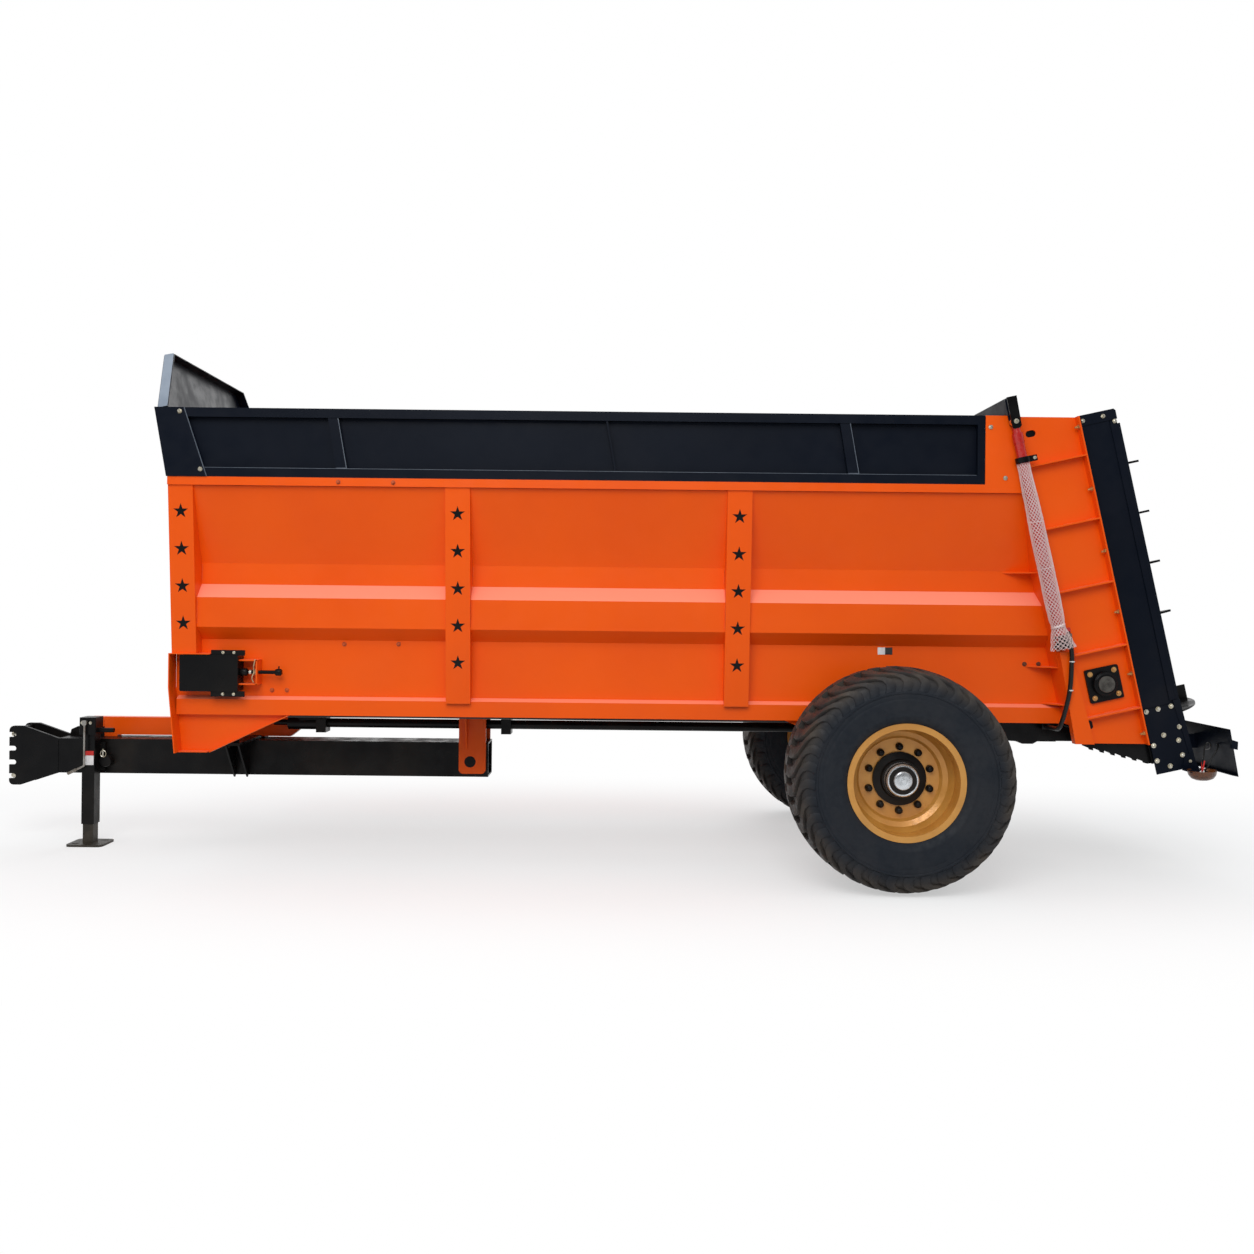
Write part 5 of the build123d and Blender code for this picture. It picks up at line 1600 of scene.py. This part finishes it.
@dataclass
class ChuteLamp:
    """Base, wires and tags of one tail lamp."""

    side: Side
    lamp_top: float = 0.612
    ahead: float = -1.672
    y: float = 0.915
    dish: Sequence[tuple[float, float]] = (
        (0.0, -0.041), (0.034, -0.041), (0.055, -0.032), (0.068, -0.014), (0.0735, 0.010),
        (0.0715, 0.011), (0.0640, -0.011), (0.0500, -0.020), (0.030, -0.0175), (0.0, -0.0165),
    )
    wires: Sequence[Sequence[Point]] = (
        (
            (0.010, 0.915, 0.004), (-0.004, 0.919, 0.060), (-0.010, 0.915, 0.115), (-0.022, 0.909, 0.158),
            (-0.052, 0.903, 0.156), (-0.060, 0.885, 0.120), (-0.078, 0.805, 0.110),
        ),
        (
            (-0.012, 0.915, 0.004), (-0.030, 0.921, 0.035), (-0.052, 0.915, 0.075), (-0.090, 0.905, 0.128),
            (-0.128, 0.835, 0.146), (-0.140, 0.800, 0.140),
        ),
    )
    wire_radius: float = 0.0042
    tag_thick: float = 0.0012
    red_strips: Sequence[Sequence[tuple[float, float]]] = (
        ((-0.004, 0.0), (0.004, 0.0), (0.019, 0.058), (0.012, 0.060)),
        ((-0.004, 0.0), (0.004, 0.0), (-0.002, 0.056)),
    )
    pale_tag: Sequence[tuple[float, float]] = (
        (-0.016, 0.0), (0.014, 0.0), (0.012, 0.022), (0.0, 0.026), (-0.012, 0.018)
    )

    def build(self) -> None:
        """Seat the lamp in its base and lead its wires up to the light board."""
        out, tag = self.side.value, self.side.tag
        x, y = station(self.ahead), self.y * out
        dish = Sketch()
        dish.lathe(self.dish, towards((x, y, self.lamp_top), (0.05, 0, 1)), 48)
        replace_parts(dish.keep(f"lamp_dish_{tag}", BRONZE, Body.CHASSIS.value, 50.0), "tail_lamps")
        wires = Sketch()
        for wire in self.wires:
            line = [(x + along, across * out, self.lamp_top + rise) for along, across, rise in wire]
            wires.tube(line, self.wire_radius, 10)
        wires.keep(f"lamp_wires_{tag}", HOSE, Body.CHASSIS.value, 60.0)
        tags = Sketch()
        for strip in self.red_strips:
            tags.plate(strip, self.tag_thick, self.tag_place(0.0, 0.020), 0.0003)
        tags.keep(f"lamp_tag_red_{tag}", PLATE_RED, Body.CHASSIS.value)
        pale = Sketch()
        pale.plate(self.pale_tag, self.tag_thick, self.tag_place(0.0, 0.004), 0.0003)
        pale.keep(f"lamp_tag_pale_{tag}", PLATE_WHITE, Body.CHASSIS.value)

    def tag_place(self, off: float, lift: float) -> Matrix:
        """Place of a tag that stands on the lamp's base.

        Args:
            off: How much further out.
            lift: How much higher.

        Returns:
            The place.
        """
        out = self.side.value
        foot = Vector((station(-1.652), (0.955 + off) * out, self.lamp_top - 0.012 + lift))
        return towards(foot, (0, out, 0.12))


@dataclass
class JackDress:
    """Label, pins and screws of the parking jack, all still on its outer tube."""

    workshop: Workshop
    shell: Shell
    head_bolts: Sequence[tuple[float, float]] = ((4.650, 0.738), (4.700, 0.738))
    label: tuple[float, float] = (4.660, 0.525)
    label_thick: float = 0.0012
    boss: Sequence[tuple[float, float]] = (
        (0.0, 0.0), (0.034, 0.0), (0.036, 0.004), (0.036, 0.046), (0.033, 0.050), (0.0, 0.050),
    )
    boss_at: Point = (4.592, 0.100, 0.500)
    pin_at: Point = (4.604, 0.150, 0.556)

    def build(self) -> None:
        """Add every small piece of the jack."""
        seats = self.shell.seats(self.head_bolts, Side.LEFT)
        self.workshop.bolt_row("jack_head_bolts", seats, across=0.0115, reach=0.003)
        place = towards(*self.shell.seat(*self.label, Side.LEFT))
        for word, finish, height, rise in (
            ("top", PLATE_RED, 0.027, 0.029), ("low", PLATE_WHITE, 0.057, -0.0135)
        ):
            half = Sketch()
            shift = Matrix.Translation((0, rise, self.label_thick / 2))
            half.block((0.050, height, self.label_thick), place @ shift, 0.0003)
            half.keep(f"jack_label_{word}", finish, Body.CHASSIS.value)
        post = Sketch()
        ahead, y, z = self.boss_at
        post.lathe(self.boss, towards((station(ahead), y, z), (0, 1, 0)), 40)
        post.keep("jack_pivot_boss", BLACK, Body.CHASSIS.value, 40.0)
        ahead, y, z = self.pin_at
        head = Vector((station(ahead), y, z))
        pin = Sketch()
        pin.tube([head + Vector((0, 0, -0.03)), head + Vector((0, 0, 0.018))], 0.0060, 12)
        turns = [math.tau * (k / 16 + 0.25) for k in range(17)]
        ring = [(0.017 * math.cos(a) - 0.006, 0.010, 0.020 * math.sin(a) - 0.010) for a in turns]
        pin.tube([head + Vector(point) for point in ring], 0.0024, 8, 3)
        pin.keep("jack_pin", ZINC, Body.CHASSIS.value, 40.0)


@dataclass
class FrontCovers:
    """Black lug and orange cap of the drawbar's stay, and the bolt of its bolster."""

    workshop: Workshop
    shell: Shell
    lug_y: tuple[float, float] = (-0.0762, -0.0538)
    lug: Sequence[tuple[float, float]] = (
        (4.6690, 0.6302), (4.9062, 0.6302), (4.8960, 0.6690), (4.8560, 0.6872), (4.6690, 0.6872),
    )
    cap_y: tuple[float, float] = (-0.095, -0.035)
    cap_top: Sequence[tuple[float, float]] = (
        (3.690, 0.7332), (4.770, 0.7332), (4.770, 0.7500), (3.690, 0.7500)
    )
    cap_end: Sequence[tuple[float, float]] = (
        (4.682, 0.690), (4.770, 0.690), (4.770, 0.7332), (4.682, 0.7332)
    )
    bolt: tuple[float, float] = (3.771, 0.594)

    def build(self) -> None:
        """Add them."""
        lug = Sketch()
        lug.station_slab(self.lug, *self.lug_y)
        lug.keep("stay_lug", BLACK, Body.CHASSIS.value)
        cap = Sketch()
        for outline in (self.cap_top, self.cap_end):
            cap.station_slab(outline, *self.cap_y)
        cap.keep("stay_cap", ORANGE, Body.CHASSIS.value)
        seats = self.shell.seats((self.bolt,), Side.LEFT)
        self.workshop.bolt_row("bolster_bolt", seats, across=0.014, reach=0.003)


@dataclass
class CylinderDress:
    """Ear, painted rod end and clamp of one lift cylinder."""

    side: Side
    workshop: Workshop
    back: float = 0.020
    y: float = 0.905
    ear_y: tuple[float, float] = (0.9190, 0.9270)
    ear: Sequence[tuple[float, float]] = (
        (-0.004, 1.650), (0.004, 1.6415), (0.036, 1.6415), (0.046, 1.652), (0.052, 1.815), (-0.002, 1.815),
    )
    ear_bolt: tuple[float, float] = (0.022, 1.679)
    rod_end_foot: float = 1.567
    rod_end: Sequence[tuple[float, float]] = (
        (0.0153, 0.0), (0.0230, 0.0), (0.0240, 0.004), (0.0225, 0.030), (0.0205, 0.036), (0.0205, 0.082),
        (0.0153, 0.086), (0.0153, 0.0),
    )
    clamp_foot: float = 1.4512
    clamp: Sequence[tuple[float, float]] = (
        (0.0384, 0.0), (0.0392, 0.0), (0.0392, 0.0316), (0.0384, 0.0316), (0.0384, 0.0),
    )
    tab: tuple[float, float] = (0.0725, 1.467)
    tab_size: Point = (0.047, 0.0222, 0.0322)
    tab_bolt: tuple[float, float] = (0.082, 1.467)
    tab_face: float = 0.9162

    def build(self) -> None:
        """Cover the rod's eye with the gate's ear and close the clamp round the barrel."""
        out, tag = self.side.value, self.side.tag
        face = (0, out, 0)
        ear = Sketch()
        ear.lean_slab(self.ear, self.ear_y[0] * out, self.ear_y[1] * out)
        ear.keep(f"gate_ear_{tag}", BLACK, Body.GATE.value)
        seat = (lean_point(*self.ear_bolt, self.ear_y[1] * out), face)
        self.workshop.bolt_row(f"gate_ear_bolt_{tag}", [seat], Body.GATE.value, across=0.0170, reach=0.004)
        sleeve = Sketch()
        sleeve.lathe(
            self.rod_end, towards(lean_point(self.back, self.rod_end_foot, self.y * out), LEAN_UP), 32
        )
        sleeve.keep(f"rod_end_{tag}", RED, Body.GATE.value, 40.0, merge=True)
        clamp = Sketch()
        clamp.lathe(self.clamp, towards(lean_point(self.back, self.clamp_foot, self.y * out), LEAN_UP), 40)
        clamp.block(self.tab_size, towards(lean_point(*self.tab, self.y * out), LEAN_UP, (0, 1, 0)), 0.001)
        clamp.keep(f"cylinder_clamp_{tag}", BLACK, Body.CHASSIS.value, 40.0, merge=True)
        seat = (lean_point(*self.tab_bolt, self.tab_face * out), face)
        self.workshop.bolt_row(f"clamp_bolt_{tag}", [seat], across=0.012, reach=0.002)


@dataclass
class HousingSlots:
    """Black plates behind and in one rear side plate's two slots: painted shade for their dark openings."""

    side: Side
    high_slot: tuple[float, float] = (0.117, 1.603)
    high_size: Point = (0.070, 0.050, 0.0015)
    high_y: float = 0.8290
    low_slot: tuple[float, float] = (0.100, -0.018)
    low_y: float = 0.8387
    slot_radius: float = 0.0150
    slot_half: float = 0.0090
    patch: tuple[float, float] = (0.100, -0.014)
    patch_size: Point = (0.066, 0.050, 0.0010)
    patch_y: float = 0.8384

    def seat(self, place: tuple[float, float], y: float) -> Matrix:
        """Place on the plate that faces outwards, its Y up the lean."""
        out = self.side.value
        return towards(lean_point(*place, y * out), (0, out, 0), LEAN_UP)

    def build(self) -> None:
        """Close the upper slot from behind and the lower one level with the plate, both in black as painted
        shade.
        """
        shape = Sketch()
        shape.block(self.high_size, self.seat(self.high_slot, self.high_y), 0.0)
        radius, half = self.slot_radius, self.slot_half
        turns = [math.tau * k / 24 for k in range(24)]
        slot = [
            (radius * math.cos(a), radius * math.sin(a) + (half if math.sin(a) > 0 else -half)) for a in turns
        ]
        shape.plate(slot, 0.0008, self.seat(self.low_slot, self.low_y), 0.0)
        shape.keep(f"slot_backs_{self.side.tag}", BLACK, Body.CHASSIS.value)
        patch = Sketch()
        patch.block(self.patch_size, self.seat(self.patch, self.patch_y), 0.0)
        patch.keep(f"slot_patch_{self.side.tag}", ORANGE, Body.CHASSIS.value)


@dataclass
class BoardTrim:
    """Leaning posts, painted edge highlights and a painted reflection on the head of one side board."""

    side: Side
    posts: Sequence[float] = (2.998, 0.214)
    post: Sequence[tuple[float, float]] = ((-0.030, 2.204), (0.028, 2.204), (0.074, 2.481), (0.020, 2.481))
    post_y: tuple[float, float] = (0.834, 0.866)
    # the rear and foot strips are pale painted highlights along each post's edges
    rear_fold: Sequence[tuple[float, float]] = (
        (-0.033, 2.204), (-0.029, 2.204), (0.021, 2.481), (0.017, 2.481)
    )
    rear_fold_y: tuple[float, float] = (0.860, 0.8672)
    foot_fold: Sequence[tuple[float, float]] = (
        (-0.030, 2.2045), (0.026, 2.2045), (0.026, 2.2100), (-0.030, 2.2100),
    )
    foot_fold_y: tuple[float, float] = (0.866, 0.8685)
    # seam and sill are pale strips painted as highlights on the head's slanted edge and the sill's top edge
    seam: Sequence[tuple[float, float]] = ((3.7230, 2.156), (3.7270, 2.156), (3.8520, 2.528), (3.8480, 2.528))
    seam_y: tuple[float, float] = (0.8690, 0.8755)
    sill: Sequence[tuple[float, float]] = (
        (-0.455, 2.2035), (3.740, 2.2035), (3.740, 2.2062), (-0.455, 2.2062)
    )
    sill_y: tuple[float, float] = (0.8660, 0.8695)
    head_foot: tuple[float, float] = (3.940, 2.156)
    head_lean: float = math.radians(10.7)
    head_edge: Sequence[tuple[float, float]] = ((0.8302, 0.3845), (0.5892, 0.7306))
    head_depth: tuple[float, float] = (0.001, 0.054)
    head_face: tuple[float, float] = (0.82, 0.57)
    head_lifts: tuple[float, float] = (0.0002, 0.0012)

    def build(self) -> None:
        """Add every strip of this side's board."""
        out, tag = self.side.value, self.side.tag
        # folds gathers the pale strips of painted highlight
        posts, folds = Sketch(), Sketch()
        kinds = (
            (posts, self.post, self.post_y),
            (folds, self.rear_fold, self.rear_fold_y),
            (folds, self.foot_fold, self.foot_fold_y),
        )
        for foot in self.posts:
            for shape, outline, reach in kinds:
                shape.station_slab([(foot + x, z) for x, z in outline], reach[0] * out, reach[1] * out)
        posts.keep(f"board_posts_{tag}", BOARD, Body.CHASSIS.value)
        for outline, reach in ((self.seam, self.seam_y), (self.sill, self.sill_y)):
            folds.station_slab(outline, reach[0] * out, reach[1] * out)
        folds.keep(f"board_folds_{tag}", EDGE, Body.CHASSIS.value)
        self.sheen()

    def sheen(self) -> None:
        """Lay a thin pale plate on the outer sloped edge of the headboard, a painted reflection of the bright
        sky.
        """
        lean, out = self.head_lean, self.side.value
        across, rise = Vector((0, out, 0)), Vector((math.sin(lean), 0, math.cos(lean)))
        back = Vector((-math.cos(lean), 0, math.sin(lean)))
        foot = Vector((station(self.head_foot[0]), 0, self.head_foot[1]))
        sheen = bmesh.new()
        for lift in self.head_lifts:
            for u, v in self.head_edge:
                corner = foot + across * (
                    u + lift * self.head_face[0]
                ) + rise * (v + lift * self.head_face[1])
                for depth in self.head_depth:
                    sheen.verts.new(corner + back * depth)
        bmesh.ops.convex_hull(sheen, input=sheen.verts)
        shape = Sketch()
        shape.take(sheen)
        shape.keep(f"head_sheen_{self.side.tag}", PAINTED_REFLECTION, Body.CHASSIS.value)


@dataclass
class Underside:
    """Loom, filler plates and black brackets under one side of the body."""

    side: Side
    loom_rows: Sequence[tuple[float, float]] = ((0.640, 0.8395), (0.616, 0.8375))
    loom_stations: Sequence[float] = (3.44, 2.9, 2.2, 1.5, 0.8, 0.2, -0.5)
    loom_radius: float = 0.0105
    filler: Sequence[tuple[float, float]] = ((3.860, 0.936), (3.946, 0.936), (3.946, 1.188), (3.860, 1.188))
    rear_block: Sequence[tuple[float, float]] = (
        (-0.985, 0.739), (-1.088, 0.739), (-1.088, 0.800), (-0.985, 0.846)
    )
    front_block: Sequence[tuple[float, float]] = (
        (3.255, 0.800), (3.285, 0.768), (3.400, 0.762), (3.430, 0.790), (3.430, 0.812), (3.255, 0.826),
    )
    light_tab: Sequence[tuple[float, float]] = (
        (-1.812, 0.745), (-1.8440, 0.738), (-1.8460, 0.782), (-1.816, 0.791)
    )

    def build(self) -> None:
        """Run the loom along the rail and add the plates."""
        out, tag = self.side.value, self.side.tag
        loom = Sketch()
        for y, z in self.loom_rows:
            line = [(station(x), y * out, z + 0.002 * math.sin(x * 7.0)) for x in self.loom_stations]
            loom.tube(line, self.loom_radius, 12, 8)
        loom.keep(f"loom_{tag}", HOSE, Body.CHASSIS.value, 60.0)
        filler = Sketch()
        filler.station_slab(self.filler, 0.690 * out, 0.6985 * out)
        filler.keep(f"front_filler_{tag}", ORANGE, Body.CHASSIS.value)
        dark = Sketch()
        dark.station_slab(self.rear_block, 0.575 * out, 0.635 * out)
        dark.station_slab(self.front_block, 0.120 * out, 0.180 * out)
        dark.keep(f"under_brackets_{tag}", BLACK, Body.CHASSIS.value)
        tab = Sketch()
        tab.station_slab(self.light_tab, 0.930 * out, 0.9495 * out)
        tab.keep(f"light_tab_{tag}", BOARD, Body.CHASSIS.value)


@dataclass
class HitchBolts:
    """Bolts in the notches of the drawbar's head."""

    workshop: Workshop
    rows: Sequence[float] = (0.649, 0.397)

    def build(self) -> None:
        """Fill the top and bottom notch with a bolt on each side."""
        seats = [((station(5.1625), y, z), (1, 0, 0)) for z in self.rows for y in (0.065, -0.065)]
        self.workshop.bolt_row("hitch_bolts", seats, across=0.036, reach=0.014)


@dataclass
class SidePlates:
    """Blank warning plate of one long side."""

    side: Side
    shell: Shell

    def build(self) -> None:
        """Stick the plate, half white and half dark, on the lower panel."""
        for name, ahead, finish in (("pale", 0.013, PLATE_WHITE), ("dark", -0.028, PLATE_BLACK)):
            point, normal = self.shell.seat(ahead, 1.239, self.side)
            shape = Sketch()
            shape.block((0.041, 0.040, 0.001), towards(point + normal * 0.0005, normal), 0.0002)
            shape.keep(f"side_plate_{name}_{self.side.tag}", finish, Body.CHASSIS.value)


@dataclass
class WeldBeads:
    """Short runs of weld along the ribs and brackets of one side."""

    side: Side
    workshop: Workshop
    plate_y: float = 0.8385
    rib_first: float = 0.0235
    rib_pitch: float = 0.3505
    ribs: int = 5

    def runs(self) -> list[tuple[Vector, Vector]]:
        """Ends of every run of orange weld.

        Returns:
            First and last point of each.
        """
        out = self.side.value
        made: list[tuple[Vector, Vector]] = []
        for k in range(self.ribs):
            up = self.rib_first + k * self.rib_pitch
            for first, last in ((0.068, 0.108), (0.190, 0.240), (0.318, 0.362)):
                for edge in (-0.0042, 0.0042):
                    ends = (lean_point(back, up + edge, self.plate_y * out) for back in (first, last))
                    made.append(tuple(ends))
        for ahead in (3.9405, 3.8030, 2.4330, 2.2950, 0.8950, 0.7570):
            for low, high in ((1.356, 1.484), (1.60, 1.68)):
                y = 0.7805 if low < 1.5 else 0.7105
                made.append((Vector((station(ahead), y * out, low)), Vector((station(ahead), y * out, high))))
        return made

    def black_runs(self) -> list[tuple[Vector, Vector]]:
        """Ends of every run of black weld, along the drawbar.

        Returns:
            First and last point of each.
        """
        y = 0.1004 * self.side.value
        places = (
            (3.8205, 0.440, 0.622), (3.8095, 0.440, 0.622), (3.7435, 0.440, 0.622), (4.900, 0.430, 0.620)
        )
        return [(Vector((station(x), y, low)), Vector((station(x), y, high))) for x, low, high in places]

    def build(self) -> None:
        """Lay both kinds."""
        self.lay("orange", self.runs(), ORANGE)
        self.lay("black", self.black_runs(), BLACK)

    def lay(self, word: str, runs: Sequence[tuple[Vector, Vector]], finish: Finish) -> None:
        """Lay weld as chains of small overlapping ripples.

        Args:
            word: Word in the piece's name.
            runs: First and last point of each run.
            finish: The finish.
        """
        mesh = bpy.data.meshes.new("weld_lines")
        corners: list[Vector] = []
        edges: list[tuple[int, int]] = []
        for first, last in runs:
            corners += [first, last]
            edges.append((len(corners) - 2, len(corners) - 1))
        mesh.from_pydata(corners, edges, [])
        seed = bpy.data.objects.new("weld_lines", mesh)
        sizes = {"Spacing": 0.0042, "Ripple radius": 0.0031, "Scatter": 0.0006, "Seed": 5}
        grown = self.workshop.welds.grow(seed, finish, sizes)
        keep_piece(f"weld_{word}_{self.side.tag}", grown, finish, Body.CHASSIS.value, 60.0)


# ---------------------------------------------------------------- studio
@dataclass
class Studio:
    """Floor, lights, sky and camera."""

    lens: float = 32.15
    sensor: float = 36.0
    camera_at: Point = (-0.201, 6.95, 1.48)
    roll: float = math.radians(0.6)
    shift: tuple[float, float] = (0.0056, -0.0175)

    def build(self) -> None:
        """Make the camera, floor, lights and sky."""
        self.camera()
        self.floor()
        self.sky()
        self.lights()
        bpy.context.scene.view_settings.view_transform = "Standard"

    def camera(self) -> None:
        """Set the camera at the side, level, with a slight roll."""
        data = bpy.data.cameras.new("camera")
        data.lens = self.lens
        data.sensor_width = self.sensor
        data.shift_x, data.shift_y = self.shift
        made = bpy.data.objects.new("camera", data)
        right = Vector((-math.cos(self.roll), 0, math.sin(self.roll)))
        up = Vector((math.sin(self.roll), 0, math.cos(self.roll)))
        turn = Matrix((right, up, Vector((0, 1, 0)))).transposed().to_4x4()
        made.matrix_world = Matrix.Translation(Vector(self.camera_at)) @ turn
        bpy.context.scene.collection.objects.link(made)
        bpy.context.scene.camera = made

    def seen_white(self, graph: Graph) -> bpy.types.NodeSocket:
        """Share that is 1 for rays that should meet the plain white background.

        Args:
            graph: The nodes to add to.

        Returns:
            The share.
        """
        path = graph.add("ShaderNodeLightPath")
        seen = graph.math("MAXIMUM", path.outputs["Is Camera Ray"], path.outputs["Is Transmission Ray"])
        return graph.math("MAXIMUM", seen, path.outputs["Is Glossy Ray"])

    def floor(self) -> None:
        """Lay a wide pale floor that keeps the machine's shadow."""
        mesh = bpy.data.meshes.new("floor")
        reach = 60.0
        corners = [(-reach, -reach, 0), (reach, -reach, 0), (reach, reach, 0), (-reach, reach, 0)]
        mesh.from_pydata(corners, [], [(0, 1, 2, 3)])
        made = bpy.data.objects.new("floor", mesh)
        bpy.context.scene.collection.objects.link(made)
        material = bpy.data.materials.new("floor_white")
        material.use_nodes = True
        graph = Graph(material.node_tree)
        place = graph.add("ShaderNodeTexCoord").outputs["Object"]
        seen = self.seen_white(graph)
        mottle = graph.ramp(graph.noise(place, 0.8, 4.0), 0.3, 0.7, 0.88, 0.9)
        tint = graph.math("MULTIPLY", mottle, graph.ramp(seen, 0.0, 1.0, 0.5, 1.0))
        matt = graph.add("ShaderNodeBsdfDiffuse", {"Color": tint})
        glow = graph.add("ShaderNodeEmission", {"Color": (1, 1, 1, 1), "Strength": 1.0})
        away = graph.add("ShaderNodeVectorMath", {0: place, 1: (0.25, 1.0, 1.0)}, operation="MULTIPLY")
        distance = graph.add(
            "ShaderNodeVectorMath", {0: away.outputs[0]}, operation="LENGTH"
        ).outputs["Value"]
        share = graph.math("MULTIPLY", seen, graph.ramp(distance, 1.2, 2.9, 0.5, 1.0))
        mixed = graph.add("ShaderNodeMixShader", {0: share, 1: matt.outputs[0], 2: glow.outputs[0]})
        graph.add("ShaderNodeOutputMaterial", {"Surface": mixed.outputs[0]})
        mesh.materials.append(material)

    def sky(self) -> None:
        """Light the scene from a soft sky that looks plain white behind the machine."""
        world = bpy.data.worlds.new("sky")
        bpy.context.scene.world = world
        world.use_nodes = True
        graph = Graph(world.node_tree)
        way = graph.add("ShaderNodeTexCoord").outputs["Generated"]
        parts = graph.add("ShaderNodeSeparateXYZ", {"Vector": way})
        height = parts.outputs["Z"]
        level = graph.ramp(height, -0.1, 0.9, 0.42, 0.95)
        light = graph.add("ShaderNodeBackground", {"Color": (0.97, 0.985, 1.0, 1), "Strength": level})
        near = graph.ramp(parts.outputs["Y"], -0.1, 0.6, 1.0, 0.14)
        shine = graph.math("MAXIMUM", near, graph.ramp(height, 0.2, 0.8, 0.0, 0.9))
        glossy = graph.add("ShaderNodeLightPath").outputs["Is Glossy Ray"]
        strength = graph.math("ADD", graph.math("MULTIPLY", glossy, graph.math("SUBTRACT", shine, 1.0)), 1.0)
        white = graph.add("ShaderNodeBackground", {"Color": (1, 1, 1, 1), "Strength": strength})
        mixed = graph.add(
            "ShaderNodeMixShader", {0: self.seen_white(graph), 1: light.outputs[0], 2: white.outputs[0]}
        )
        graph.add("ShaderNodeOutputWorld", {"Surface": mixed.outputs[0]})

    def lamp(self, name: str, place: Point, aim: Point, size: float, power: float) -> None:
        """Hang one square soft lamp.

        Args:
            name: The lamp's name.
            place: Where it hangs.
            aim: What it points at.
            size: Its side.
            power: Its power in watts.
        """
        data = bpy.data.lights.new(name, "AREA")
        data.shape = "SQUARE"
        data.size = size
        data.energy = power
        made = bpy.data.objects.new(name, data)
        made.matrix_world = towards(place, Vector(place) - Vector(aim))
        bpy.context.scene.collection.objects.link(made)

    def lights(self) -> None:
        """Hang a broad lamp over the near side and a weaker one over the far side."""
        self.lamp("key_lamp", (1.0, 7.5, 6.5), (0.0, 0.0, 1.2), 5.0, 400.0)
        self.lamp("far_lamp", (-1.5, -7.5, 6.0), (0.0, 0.0, 1.2), 5.0, 210.0)


def main() -> None:
    """Dress the frame, add the fine pieces and set up the studio."""
    logging.basicConfig(level=logging.INFO, format="%(message)s")
    dress_frame()
    workshop = Workshop()
    shell = Shell()
    for side in Side:
        WheelDress(side, workshop).build()
        SideFasteners(side, workshop, shell).build()
        StarLiners(side).build()
        NetSleeve(side, workshop).build()
        HoseTies(side).build()
        Tensioner(side).build()
        ChuteLamp(side).build()
        SidePlates(side, shell).build()
        WeldBeads(side, workshop).build()
        CylinderDress(side, workshop).build()
        HousingSlots(side).build()
        BoardTrim(side).build()
        Underside(side).build()
    JackDress(workshop, shell).build()
    HitchBolts(workshop).build()
    FrontCovers(workshop, shell).build()
    Studio().build()


if __name__ == "__main__":
    main()
